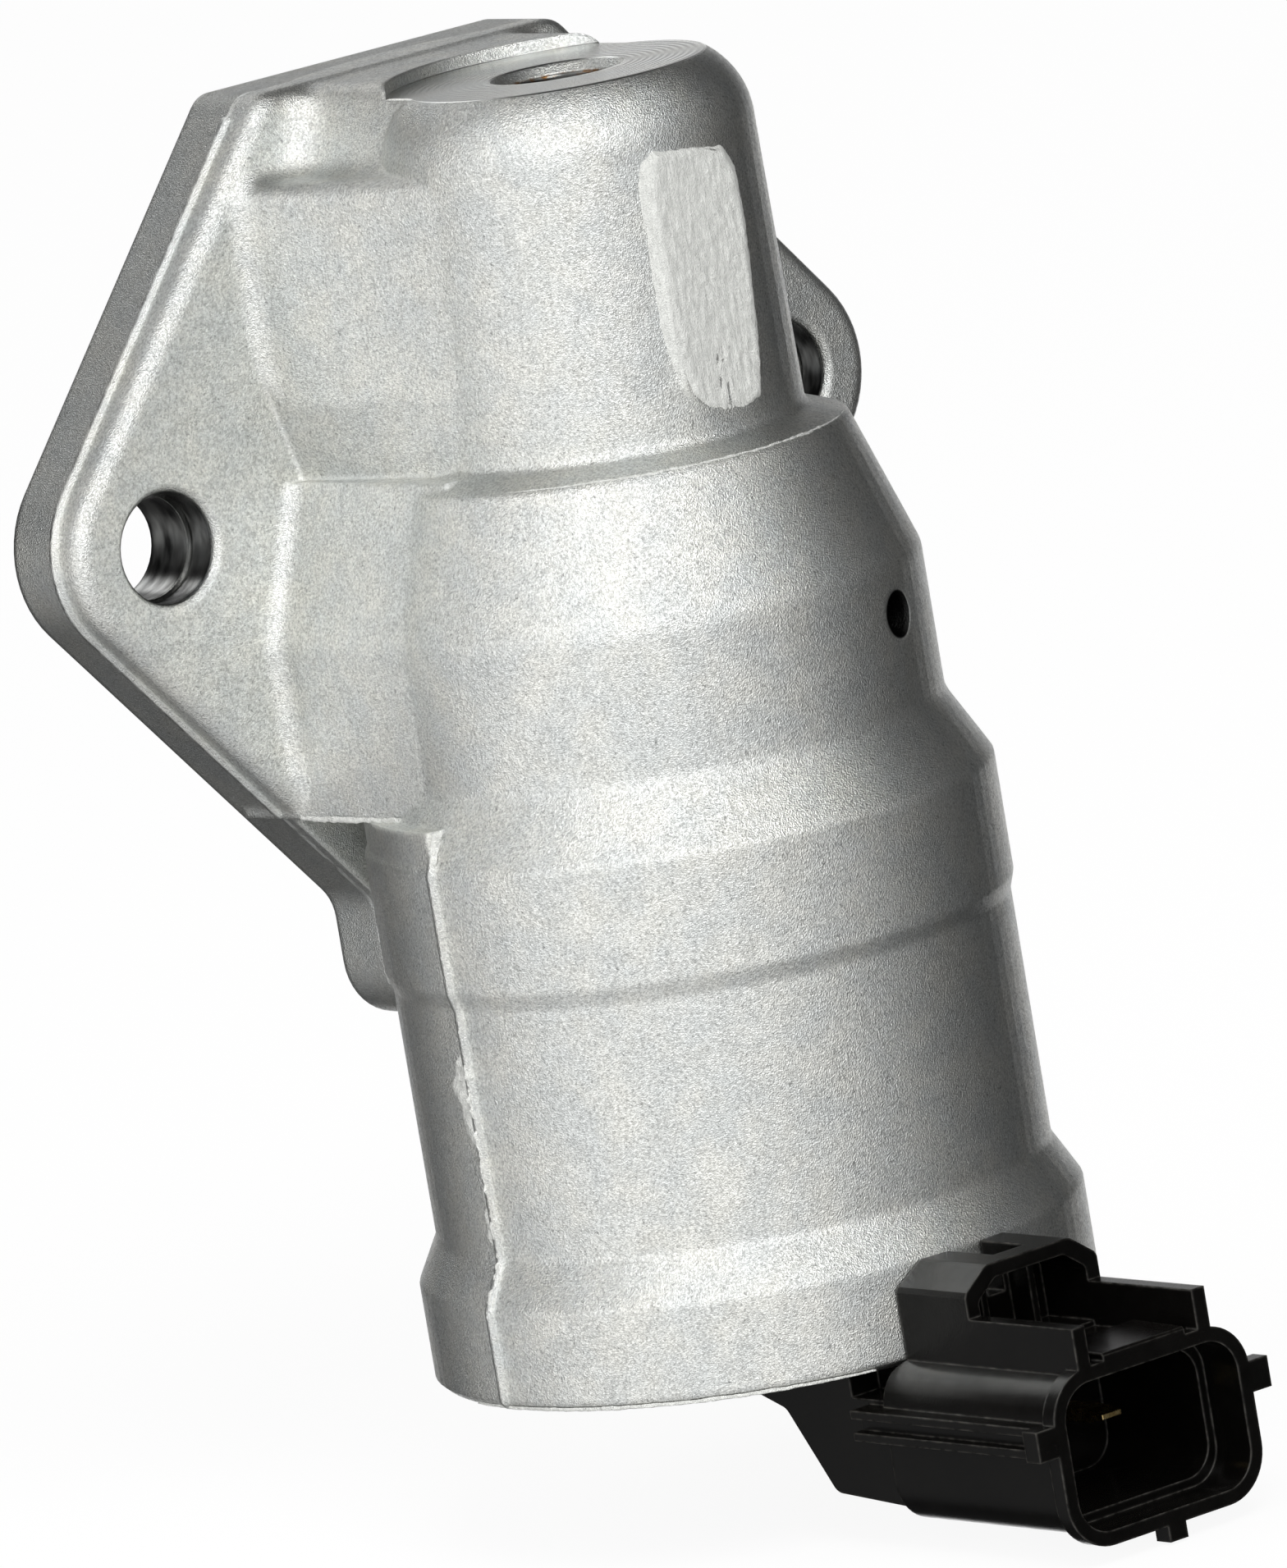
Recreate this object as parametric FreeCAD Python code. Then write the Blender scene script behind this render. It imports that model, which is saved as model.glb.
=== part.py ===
"""Idle air control valve: die-cast body with a two-bolt flange, linear solenoid and plug socket.

Frame: millimetres, origin midway between the two bolt holes on the mounting face.
+Y points out of the mounting face into the engine part that carries the valve,
-Y towards the plug, +Z up along the valve axis, +X to the right seen from the plug side.
"""
import os
from math import atan2, cos, radians, sin, sqrt, tan

import FreeCAD
import Part

V = FreeCAD.Vector

# Driving dimensions, millimetres and degrees

# Flange
AXIS_TO_FACE = 20.8          # valve axis to mounting face
FLANGE_T = 6.7
BOLT_SPACING = 48.2
BOLT_HOLE_R = 3.4            # clearance for an M6 bolt
BOLT_HOLE_FACE_R = 3.2       # cored from the mounting face, a little tighter
BOLT_CHAMFER = 0.4
EAR_R = 6.8
FLANGE_TOP = 25.25
FLANGE_SLANT = 40.2          # degrees from the valve axis, all four slanted edges
TONGUE_BOTTOM = -33.0
TONGUE_HALF = 11.8
TONGUE_T = 5.3               # the flange is thinner below the saddle
PARTING_Y = -4.2             # where the two die halves met
RIDGE = 0.25                 # how far the parting ridge stands proud
RIDGE_T = 0.4
SEAM_FLARE = 0.3             # the seam is widest just under the saddle

# Outer form of the casting around the valve axis: radii and heights
BOSS_R = 11.3
BOSS_FOOT_R = 11.55
BOSS_FOOT = 2.1
BOSS_ROUND = 5.3
SHOULDER_R = 14.0
SHOULDER = 1.15
WAIST_R = 17.05
WAIST_TOP = -7.55
WAIST_BOTTOM = -16.7
BAND_R = 19.35
BAND_TOP = -20.9
BAND_BOTTOM = -28.3
BAND_STEP_H = 1.1            # height of the small slope under the band
BARREL_R = 19.0
BARREL_BOTTOM = -44.9
LIP_R = 20.5
LIP_TOP = -47.7
LIP_BOTTOM = -53.8

# Side pads and neck behind the boss
PAD_HALF = 15.0              # half width where the pad meets the flange
PAD_LOW_HALF = 13.6          # the same at the foot, under the slanted facet
PAD_TOP = 20.1
PAD_FACET_TOP = 6.6
NECK_TOP_HALF = 8.0
NECK_FOOT_HALF = 10.6
NECK_TOP_CORNER = 1.2
NECK_DROP = 0.15             # neck lies a little lower than the flange top
SADDLE_TOP = 1.8             # where its slanted side meets the facet of the pad
SADDLE_BOTTOM = -18.4        # flat underside of the block between waist and flange
SADDLE_DRAFT = 0.9           # how much wider than the waist the block is at the flange
SADDLE_SINK = 0.3            # its walls start this far inside the waist
BACK_STEP_R = 19.1           # rear half of the casting just under the saddle
NECK_FILLET = 2.2            # inside corners left by the die, at the flange
WALL_FILLET = 1.2
PAD_FILLET = 1.5
PAD_EDGE = 1.0
FLANGE_EDGE = 1.1
FLANGE_TOP_CORNER = 1.8
TONGUE_NECK_R = 3.0
TONGUE_CORNER = 4.0

# Machined top
DISC_Z = 24.3
SPOT_R = 10.4
ADJUSTER_BORE_R = 3.35
ADJUSTER_CHAMFER = 0.8

# Air passages and chambers
PORT_R = 6.0
PORT_UP = 11.5
PORT_LOW = -10.5
UPPER_R = 8.6
UPPER_TOP = 17.5
SEAT_SHOULDER = 3.0
LOWER_R = 13.0
LOWER_CONE_TOP = -2.4
LOWER_CONE_BOTTOM = -8.0
VENT_R = 1.4
VENT_Z = -10.5
VENT_TURN = 23.7             # degrees from -Y towards +X

# Broken-off casting gate on the boss
GATE_W = 6.0
GATE_TOP = 19.2
GATE_BOTTOM = 3.8
GATE_PROUD = 0.1
GATE_TOP_CORNER = 1.6
GATE_LOW_CORNER = 2.4

# Solenoid bore
COIL_SHOULDER = -24.0
COIL_BORE_R = 17.2
CAP_SEAT = -49.7
CAP_RECESS_R = 18.3
CRIMP_R = 17.5
CRIMP_T = 0.6

# Solenoid pieces
PLATE_T = 1.8
YOKE_R = 16.9
YOKE_WALL = 1.2
YOKE_H = 19.8
CORE_R = 4.9
CORE_SPIGOT_R = 4.0
CORE_H = 8.4
SLEEVE_WALL = 0.3
BOBBIN_WALL = 0.9
BOBBIN_FLANGE_T = 1.3
WINDING_R = 13.2
TAPE_T = 0.2
PLUNGER_R = 4.94
PLUNGER_H = 9.0
TRAVEL = 3.5
SHIM_T = 0.3
SHAFT_R = 1.5
SHAFT_TOP = 13.4
BUSH_R = 2.6
BUSH_L = 3.6
GUIDE_R = 4.6                # turned guide that carries the upper bush
GUIDE_FLANGE_T = 1.0
RUN = 0.04                   # radial running clearance of shaft and plunger
FIT = 0.05                   # assembly clearance of pieces that do not move
EDGE_BREAK = 0.45            # edges broken by less than this are flat, larger ones round
WASHER_H = 0.8
WASHER_T = 0.4
WASHER_IN_R = 8.5
WASHER_OUT_R = 12.0
LEAD_R = 0.3

# Valve
SEAT_BORE_R = 6.6
SEAT_OUT_R = 9.0
SEAT_H = 3.0
SEAT_CHAMFER = 1.2
HEAD_R = 8.0
HEAD_SKIRT = 3.0
HEAD_HUB_R = 3.4
HEAD_HUB_L = 2.0
HEAD_FACE_H = 2.0            # cone height above the seat's lower edge
SEAT_GAP = 0.06              # air film left between head and seat when closed
CLIP_R = 2.8
CLIP_T = 0.5
CLIP_GROOVE_R = 1.15
RETURN_WIRE_R = 0.35
RETURN_COIL_R = 5.4
RETURN_TURNS = 4.5
BALANCE_WIRE_R = 0.25
BALANCE_COIL_R = 1.95
BALANCE_TURNS = 4.5
SEAT_AIR = 0.02              # between a spring end and its seat
CUP_R = 2.45
CUP_H = 1.4
CUP_PIN_R = 1.4
CUP_PIN_H = 0.6
SCREW_TOP = 22.6
SCREW_H = 5.4
SCREW_POCKET_R = 2.5
SCREW_ROOF = 1.6
SLOT_W = 0.9
SLOT_DEPTH = 0.9
SCREW_LEAD = 0.3             # chamfer where the screw enters its bore
COMPOUND_T = 0.5

# Plug socket
MOUTH_Y = -57.0
MOUTH_W = 15.3
MOUTH_H = 10.9
MOUTH_Z = -58.5
MOUTH_CORNER = 3.1
MOUTH_RIM = 0.35
RIM_L = 1.1
SOCKET_WALL = 0.9
STEP_DEPTH = 3.2
STEP_IN = 0.6
SOCKET_DEPTH = 12.6
LIP_GAP = 0.15               # air between the casting and the plastic in front of it
BLOCK_HALF = 5.2
BLOCK_TOP = -47.7
BLOCK_L = 5.9
BLOCK_CHAMFER = (1.9, 1.4)   # across and down
BLOCK_WALL = 0.9
WINDOW_HALF = 1.25           # window in the roof of the block
WINDOW_L = 4.2
RIB_X = 1.9
RIB_T = 0.5
RIB_BACK = 2.4               # ribs start behind the block front
GUIDE_TOP = -50.6
GUIDE_T = 1.0
RAMP_HALF = 3.2
RAMP_L = 5.0
RAMP_FRONT_H = 0.45
RAMP_BACK_H = 0.6
RAIL_OUT = 0.8
RAIL_UP = 2.6                # top of the side rails above the middle of the mouth
RAIL_H = 1.9
RAIL_GROOVE = 0.85
RAIL_BACK = 1.8              # rails run on past the start of the tube
TAB_OUT = 1.45
TAB_L = 1.3
KEY_X = 0.3                  # key under the mouth
KEY_HALF = 0.7
KEY_L = 1.3
KEY_H = 1.0
PIN_X = 2.2
PIN_Z = -58.2
PIN_W = 1.5
PIN_T = 0.8
PIN_TIP_BACK = 6.9           # pin tip behind the mouth
PIN_TIP_T = 0.3
PIN_TAPER_L = 1.2
PIN_POST_Y = -34.0           # where the pins turn up towards the coil
SEAL_R = 0.78                # section radius of the rubber ring
SEAL_GROOVE_R = 15.6
SEAL_GROOVE_H = 1.6
SPIGOT_R = 17.0
SPIGOT_ROOF = 0.75           # plastic above the seal groove
CAP_FACE = -54.0             # underside of the cap's round part
NECK_HALF = 6.9
NECK_BOTTOM = -62.1
NECK_BEND = ((9.6, 2.7), (13.3, 7.7))   # in front of the axis, below the cap face
NECK_NOTCH = (2.2, 3.4, 1.6)  # width, length and depth of the notches beside the lip
TUBE_RISE = 0.25             # the tube floor lies higher than the rim
TUBE_TUCK = 1.0              # how far the tube runs back under the lip
POCKET_HALF = 4.4
POCKET_DEPTH = 1.6

# Derived places
AXIS_Y = -AXIS_TO_FACE
YOKE_TOP = COIL_SHOULDER - PLATE_T
YOKE_BOTTOM = YOKE_TOP - YOKE_H
YOKE_FLOOR = YOKE_BOTTOM + YOKE_WALL
CAP_SPIGOT_TOP = YOKE_BOTTOM - WASHER_H
CORE_TOP = YOKE_BOTTOM + CORE_H
SLEEVE_R = PLUNGER_R + RUN + SLEEVE_WALL
HUB_R = SLEEVE_R + FIT + BOBBIN_WALL
PLUNGER_BOTTOM = CORE_TOP + SHIM_T + TRAVEL + 0.2
PLUNGER_TOP = PLUNGER_BOTTOM + PLUNGER_H
SHAFT_BOTTOM = YOKE_BOTTOM + 1.6
GUIDE_BASE = COIL_SHOULDER
GUIDE_TOP_Z = GUIDE_BASE + BUSH_L
SPRING_FLOOR = GUIDE_BASE + GUIDE_FLANGE_T
SEAT_LOW = SEAT_SHOULDER - SEAT_H
HEAD_FACE_R = SEAT_BORE_R + SEAT_CHAMFER - SEAT_GAP * sqrt(2)
HEAD_UNDER = SEAT_LOW - HEAD_SKIRT
CLIP_Z = SEAT_LOW + HEAD_FACE_H + 0.02
SCREW_BOTTOM = SCREW_TOP - SCREW_H
SCREW_CEILING = SCREW_TOP - SCREW_ROOF
CUP_BOTTOM = SHAFT_TOP - 0.8
SOCKET_BACK = AXIS_Y - LIP_R - LIP_GAP
SOCKET_TOP = MOUTH_Z + MOUTH_H / 2
SOCKET_BOTTOM = MOUTH_Z - MOUTH_H / 2
RAIL_TOP = MOUTH_Z + RAIL_UP


# Helpers
def outline(points, place):
    """Closed wire through (u, v, corner radius) points; place(u, v) puts a point in space.

    A corner smaller than EDGE_BREAK is drawn as a flat bevel.
    """
    ends = []
    count = len(points)
    for i in range(count):
        u, v, r = points[i]
        pu, pv, _ = points[i - 1]
        nu, nv, _ = points[(i + 1) % count]
        lp, ln = sqrt((pu - u) ** 2 + (pv - v) ** 2), sqrt((nu - u) ** 2 + (nv - v) ** 2)
        a, b = ((pu - u) / lp, (pv - v) / lp), ((nu - u) / ln, (nv - v) / ln)
        if r == 0:
            ends.append((place(u, v),))
            continue
        half = 0.5 * abs(atan2(a[0] * b[1] - a[1] * b[0], a[0] * b[0] + a[1] * b[1]))
        back = r / tan(half)
        mid = ((a[0] + b[0]), (a[1] + b[1]))
        length = sqrt(mid[0] ** 2 + mid[1] ** 2)
        reach = (r / sin(half) - r) / length
        arc = (place(u + a[0] * back, v + a[1] * back), place(u + mid[0] * reach, v + mid[1] * reach),
               place(u + b[0] * back, v + b[1] * back))
        ends.append(arc if r >= EDGE_BREAK else (arc[0], arc[2]))
    edges = []
    for i in range(count):
        here, following = ends[i], ends[(i + 1) % count]
        if len(here) == 3:
            edges.append(Part.Arc(*here).toShape())
        if len(here) == 2:
            edges.append(Part.makeLine(*here))
        if here[-1].distanceToPoint(following[0]) > 1e-6:
            edges.append(Part.makeLine(here[-1], following[0]))
    return Part.Wire(Part.__sortEdges__(edges))


def turned(points):
    """Solid of revolution about the valve axis from (radius, z, corner radius) points."""
    wire = outline(points, lambda r, z: V(r, AXIS_Y, z))
    return Part.Face(wire).revolve(V(0, AXIS_Y, 0), V(0, 0, 1), 360)


def ring(outer, inner, low, high):
    """Plain tube or washer about the valve axis."""
    return turned([(inner, low, 0), (outer, low, 0), (outer, high, 0), (inner, high, 0)])


def rod(radius, low, high, x=0.0, y=AXIS_Y):
    return Part.makeCylinder(radius, high - low, V(x, y, low))


def box(x0, x1, y0, y1, z0, z1):
    return Part.makeBox(x1 - x0, y1 - y0, z1 - z0, V(x0, y0, z0))


def drawn_y(points, y0, y1):
    """Prism along Y from (x, z, corner radius) points."""
    wire = outline(points, lambda x, z: V(x, y0, z))
    return Part.Face(wire).extrude(V(0, y1 - y0, 0))


def drawn_x(points, half):
    """Prism along X, centred, from (y, z, corner radius) points."""
    wire = outline(points, lambda y, z: V(-half, y, z))
    return Part.Face(wire).extrude(V(2 * half, 0, 0))


def mirrored(points):
    """Left half of an outline, run from top to bottom, closed by its mirror image."""
    return points + [(-x, z, r) for x, z, r in reversed(points)]


def along_y(radius, x, z, y0, y1):
    return Part.makeCylinder(radius, y1 - y0, V(x, y0, z), V(0, 1, 0))


def spring(coil_r, wire_r, low, high, turns):
    """Compression spring standing on the valve axis between two faces, its wire drawn six-sided."""
    pitch = (high - low - 2 * wire_r - 2 * SEAT_AIR) / turns
    helix = Part.makeHelix(pitch, pitch * turns, coil_r)
    angles = [radians(60 * i) for i in range(7)]
    section = Part.makePolygon([V(coil_r + wire_r * cos(a), 0, wire_r * sin(a)) for a in angles])
    coil = helix.makePipeShell([section], True, True)
    coil.translate(V(0, AXIS_Y, low + wire_r + SEAT_AIR))
    return coil


def edges_where(shape, test):
    return [e for e in shape.Edges if test(e)]


# Casting
def body_profile(grow=0.0):
    """Radius and height of the outer form, from the top of the boss to the lip."""
    return [(BOSS_R + grow, FLANGE_TOP, BOSS_ROUND),
            (BOSS_FOOT_R + grow, BOSS_FOOT, 0.7),
            (SHOULDER_R + grow, SHOULDER, 0.4),
            (WAIST_R + grow, WAIST_TOP, 2.5),
            (WAIST_R + grow, WAIST_BOTTOM, 2.0),
            (BAND_R + grow, BAND_TOP, 0.7),
            (BAND_R + grow, BAND_BOTTOM, 0.3),
            (BARREL_R + grow, BAND_BOTTOM - BAND_STEP_H, 0.3),
            (BARREL_R + grow, BARREL_BOTTOM, 0.6),
            (LIP_R + grow, LIP_TOP, 0.6),
            (LIP_R + grow, LIP_BOTTOM, 0.4)]


def flange_outline(grow=0.0):
    """Six-sided flange: flat top, two round ears, and a tongue under the lower port."""
    slant = radians(FLANGE_SLANT)
    radius = EAR_R + grow
    tip_x = BOLT_SPACING / 2 + radius / cos(slant)
    top_x = tip_x - (FLANGE_TOP + grow) * tan(slant)
    tongue_x = TONGUE_HALF + grow
    tongue_z = -(tip_x - tongue_x) / tan(slant)
    left = [(-top_x, FLANGE_TOP + grow, FLANGE_TOP_CORNER),
            (-tip_x, 0, radius),
            (-tongue_x, tongue_z, TONGUE_NECK_R),
            (-tongue_x, TONGUE_BOTTOM - grow, TONGUE_CORNER)]
    return mirrored(left)


def pad_planform(half, z):
    """Boss circle in front with walls running back to the flange, as a wire at height z."""
    back_y = -(FLANGE_T - 1.0)
    run = AXIS_Y - back_y
    radius = BOSS_R - FIT
    dist = sqrt(half ** 2 + run ** 2)
    tangent = atan2(-run, half) - atan2(sqrt(dist ** 2 - radius ** 2), radius)
    tx = radius * cos(tangent)
    ty = AXIS_Y + radius * sin(tangent)
    right, left = V(tx, ty, z), V(-tx, ty, z)
    back_r, back_l = V(half, back_y, z), V(-half, back_y, z)
    front = V(0, AXIS_Y - radius, z)
    return Part.Wire([Part.Arc(left, front, right).toShape(), Part.makeLine(right, back_r),
                      Part.makeLine(back_r, back_l), Part.makeLine(back_l, left)])


def saddle_outline(y, widening):
    """Block between waist and flange at depth y, as a wire."""
    left = [(-PAD_LOW_HALF - widening, SADDLE_TOP, 0), (-WAIST_R - widening, WAIST_TOP, 2.5),
            (-WAIST_R - widening, SADDLE_BOTTOM, 0)]
    return outline(mirrored(left), lambda x, z: V(x, y, z))


def flange_plate():
    """Plate with a round front edge, stepped back to the tongue below the saddle."""
    plate = drawn_y(flange_outline(), -FLANGE_T, 0)
    rim = edges_where(plate, lambda e: e.BoundBox.YMax < -FLANGE_T + 0.01)
    plate = plate.makeFillet(FLANGE_EDGE, rim)
    wide = BOLT_SPACING
    return plate.cut(box(-wide, wide, -FLANGE_T - 1, -TONGUE_T, TONGUE_BOTTOM - 1, SADDLE_BOTTOM))


def casting_outside():
    profile = [(0, FLANGE_TOP, 0)] + body_profile() + [(0, LIP_BOTTOM, 0)]
    outer = turned(profile)
    plate = flange_plate()
    ridge = drawn_y(flange_outline(RIDGE), PARTING_Y - RIDGE_T / 2, PARTING_Y + RIDGE_T / 2)
    ridge = ridge.cut(box(-BOLT_SPACING, BOLT_SPACING, -FLANGE_T, 0, FLANGE_TOP - FLANGE_EDGE, FLANGE_TOP + 1))
    ridge = ridge.cut(box(-BOLT_SPACING, BOLT_SPACING, -FLANGE_T, 0, TONGUE_BOTTOM - 1, SADDLE_BOTTOM))

    saddle = Part.makeLoft([saddle_outline(AXIS_Y, -SADDLE_SINK), saddle_outline(-1.0, SADDLE_DRAFT)],
                           True, True)
    back_step = rod(BACK_STEP_R, BAND_TOP - 0.5, SADDLE_BOTTOM)
    back_step = back_step.cut(box(-LIP_R, LIP_R, AXIS_Y - LIP_R, AXIS_Y, BAND_TOP - 1, SADDLE_BOTTOM + 1))

    pad = Part.Face(pad_planform(PAD_HALF, PAD_FACET_TOP)).extrude(V(0, 0, PAD_TOP - PAD_FACET_TOP))
    rim = edges_where(pad, lambda e: e.BoundBox.ZMin > PAD_TOP - 0.01 and e.BoundBox.YMin < -FLANGE_T)
    pad = pad.makeFillet(PAD_EDGE, rim)
    facet = Part.makeLoft([pad_planform(PAD_LOW_HALF, SADDLE_TOP), pad_planform(PAD_HALF, PAD_FACET_TOP)],
                          True, True)

    neck_left = [(-NECK_TOP_HALF, FLANGE_TOP - NECK_DROP, NECK_TOP_CORNER), (-NECK_FOOT_HALF, PAD_TOP - 2, 0)]
    neck = drawn_y(mirrored(neck_left), AXIS_Y, -1.0)

    widening = (BAND_R - WAIST_R) / (WAIST_BOTTOM - BAND_TOP)
    seam_top_r = WAIST_R + RIDGE + widening * (WAIST_BOTTOM - SADDLE_BOTTOM) + SEAM_FLARE
    seam_left = [(-seam_top_r, SADDLE_BOTTOM, 0)]
    seam_left += [(-r, z, round_r) for r, z, round_r in body_profile(RIDGE) if z <= BAND_TOP]
    seam = drawn_y(mirrored(seam_left), AXIS_Y - RIDGE_T / 2, AXIS_Y + RIDGE_T / 2)

    gate_half = GATE_W / 2
    gate_left = [(-gate_half, GATE_TOP, GATE_TOP_CORNER), (-gate_half, GATE_BOTTOM, GATE_LOW_CORNER)]
    gate = drawn_y(mirrored(gate_left), AXIS_Y - BOSS_R - GATE_PROUD, AXIS_Y)

    shape = outer
    for piece in (plate, saddle, back_step, pad, facet, neck):
        shape = shape.fuse(piece)
    shape = flange_fillets(shape.removeSplitter())
    for piece in (gate, ridge, seam):
        shape = shape.fuse(piece)
    return shape


def flange_fillets(shape):
    """Round the inside corners where the neck, the saddle and the pads meet the flange."""
    def corner_lines(z0, z1, half0, half1):
        def test(edge):
            bounds = edge.BoundBox
            middle = edge.valueAt((edge.FirstParameter + edge.LastParameter) / 2)
            in_face = abs(bounds.YMin + FLANGE_T) < 0.02 and abs(bounds.YMax + FLANGE_T) < 0.02
            return in_face and z0 < middle.z < z1 and half0 < abs(middle.x) < half1
        return test

    neck = corner_lines(PAD_TOP, FLANGE_TOP - FLANGE_EDGE, NECK_TOP_HALF, NECK_FOOT_HALF)
    saddle = corner_lines(SADDLE_BOTTOM, SADDLE_TOP - 0.1, PAD_LOW_HALF, WAIST_R + SADDLE_DRAFT + 0.1)
    pads = corner_lines(PAD_FACET_TOP, PAD_TOP - PAD_EDGE, PAD_LOW_HALF + 0.5, PAD_HALF + 0.2)
    for test, radius in ((neck, NECK_FILLET), (saddle, WALL_FILLET), (pads, PAD_FILLET)):
        shape = shape.makeFillet(radius, edges_where(shape, test))
    return shape


def casting_inside():
    """Everything that the cores, drills and boring bars leave open."""
    cuts = []
    # spot face and adjuster bore
    cuts.append(rod(SPOT_R, DISC_Z, FLANGE_TOP + 1))
    chamfered = ADJUSTER_BORE_R + ADJUSTER_CHAMFER
    cuts.append(turned([(0, UPPER_TOP - 1, 0), (ADJUSTER_BORE_R, UPPER_TOP - 1, 0),
                        (ADJUSTER_BORE_R, DISC_Z - ADJUSTER_CHAMFER, 0),
                        (chamfered, DISC_Z, 0), (chamfered, DISC_Z + 1, 0), (0, DISC_Z + 1, 0)]))
    # chambers and solenoid bore, open at the bottom
    cuts.append(turned([(0, UPPER_TOP, 0), (UPPER_R, UPPER_TOP, 0.4), (UPPER_R, SEAT_SHOULDER, 0),
                        (SEAT_OUT_R, SEAT_SHOULDER, 0), (SEAT_OUT_R, LOWER_CONE_TOP, 0),
                        (LOWER_R, LOWER_CONE_BOTTOM, 0), (LOWER_R, COIL_SHOULDER, 0),
                        (COIL_BORE_R, COIL_SHOULDER, 0), (COIL_BORE_R, CAP_SEAT, 0),
                        (CAP_RECESS_R, CAP_SEAT, 0), (CAP_RECESS_R, LIP_BOTTOM + CRIMP_T, 0),
                        (CRIMP_R, LIP_BOTTOM + CRIMP_T, 0), (CRIMP_R, LIP_BOTTOM - 1, 0),
                        (0, LIP_BOTTOM - 1, 0)]))
    # air ports
    cuts.append(along_y(PORT_R, 0, PORT_UP, AXIS_Y + 4, 1))
    cuts.append(along_y(PORT_R, 0, PORT_LOW, AXIS_Y + 4, 1))
    # bolt holes, cored from both sides, with the machined edges
    for side in (-1, 1):
        x = side * BOLT_SPACING / 2
        cuts.append(along_y(BOLT_HOLE_R, x, 0, -FLANGE_T - 1, PARTING_Y))
        cuts.append(along_y(BOLT_HOLE_FACE_R, x, 0, PARTING_Y - 1, 1))
        for y, direction in ((-FLANGE_T, 1), (0, -1)):
            radius = BOLT_HOLE_R if direction == 1 else BOLT_HOLE_FACE_R
            reach = BOLT_CHAMFER + 1
            cone = Part.makeCone(radius + reach, radius, reach, V(x, y - direction, 0), V(0, direction, 0))
            cuts.append(cone)
    # vent drilled through the waist
    turn = radians(VENT_TURN)
    way = V(sin(turn), -cos(turn), 0)
    start = V(0, AXIS_Y, VENT_Z) + way * (LOWER_R - 1)
    cuts.append(Part.makeCylinder(VENT_R, WAIST_R - LOWER_R + 3, start, way))
    return cuts


def valve_body():
    shape = casting_outside()
    for cut in casting_inside():
        shape = shape.cut(cut)
    return shape.removeSplitter()


# Solenoid
def pole_plate():
    return ring(YOKE_R, SLEEVE_R + FIT, YOKE_TOP, COIL_SHOULDER)


def pin_slot(low, high):
    """Way for the coil leads through the floor of the yoke and the lower bobbin flange."""
    return box(-POCKET_HALF, POCKET_HALF, PIN_POST_Y - 1.0, PIN_POST_Y + 1.6, low, high)


def yoke_shell():
    inner = YOKE_R - YOKE_WALL
    shell = turned([(CORE_SPIGOT_R + FIT, YOKE_BOTTOM, 0), (YOKE_R, YOKE_BOTTOM, 0.4),
                    (YOKE_R, YOKE_TOP, 0), (inner, YOKE_TOP, 0), (inner, YOKE_FLOOR, 0.3),
                    (CORE_SPIGOT_R + FIT, YOKE_FLOOR, 0)])
    return shell.cut(pin_slot(YOKE_BOTTOM - 1, YOKE_FLOOR + 1))


def fixed_core():
    clear = SHAFT_R + 0.4
    return turned([(BUSH_R + FIT, YOKE_BOTTOM, 0), (CORE_SPIGOT_R, YOKE_BOTTOM, 0.2),
                   (CORE_SPIGOT_R, YOKE_FLOOR, 0), (CORE_R, YOKE_FLOOR, 0),
                   (CORE_R, CORE_TOP, 0.3), (clear, CORE_TOP, 0),
                   (clear, YOKE_BOTTOM + BUSH_L, 0), (BUSH_R + FIT, YOKE_BOTTOM + BUSH_L, 0)])


def lower_bush():
    return ring(BUSH_R, SHAFT_R + RUN, YOKE_BOTTOM, YOKE_BOTTOM + BUSH_L - FIT)


def stop_shim():
    return ring(CORE_R - 0.3, SHAFT_R + 0.5, CORE_TOP, CORE_TOP + SHIM_T)


def guide_sleeve():
    return ring(SLEEVE_R, PLUNGER_R + RUN, YOKE_FLOOR, COIL_SHOULDER)


def coil_bobbin():
    outer = YOKE_R - YOKE_WALL - 0.3
    bore = SLEEVE_R + FIT
    low, high = YOKE_FLOOR, YOKE_TOP
    spool = turned([(bore, low, 0), (outer, low, 0.2), (outer, low + BOBBIN_FLANGE_T, 0.3),
                    (HUB_R, low + BOBBIN_FLANGE_T, 0), (HUB_R, high - BOBBIN_FLANGE_T, 0),
                    (outer, high - BOBBIN_FLANGE_T, 0.3), (outer, high, 0.2), (bore, high, 0)])
    notch = pin_slot(low - 1, low + BOBBIN_FLANGE_T + 0.1)
    return spool.cut(notch)


def coil_winding():
    """Enamelled wire as wound, with its two ends led down to the plug pins."""
    low, high = YOKE_FLOOR + BOBBIN_FLANGE_T + FIT, YOKE_TOP - BOBBIN_FLANGE_T - FIT
    coil = ring(WINDING_R, HUB_R + FIT, low, high)
    for side in (-1, 1):
        x, y = side * PIN_X, PIN_POST_Y + PIN_T / 2 + LEAD_R
        coil = coil.fuse(rod(LEAD_R, CAP_SPIGOT_TOP - 0.8, low + 0.5, x, y))
    return coil


def coil_tape():
    low, high = YOKE_FLOOR + BOBBIN_FLANGE_T + FIT, YOKE_TOP - BOBBIN_FLANGE_T - FIT
    return ring(WINDING_R + FIT + TAPE_T, WINDING_R + FIT, low, high)


def plunger():
    return turned([(SHAFT_R, PLUNGER_BOTTOM, 0), (PLUNGER_R, PLUNGER_BOTTOM, 0.4),
                   (PLUNGER_R, PLUNGER_TOP, 0.4), (SHAFT_R, PLUNGER_TOP, 0)])


def spring_washer():
    """Conical washer that takes up the play between yoke and cap."""
    low, high = CAP_SPIGOT_TOP, YOKE_BOTTOM
    return turned([(WASHER_OUT_R, low, 0), (WASHER_OUT_R, low + WASHER_T, 0),
                   (WASHER_IN_R, high, 0), (WASHER_IN_R, high - WASHER_T, 0)])


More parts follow.
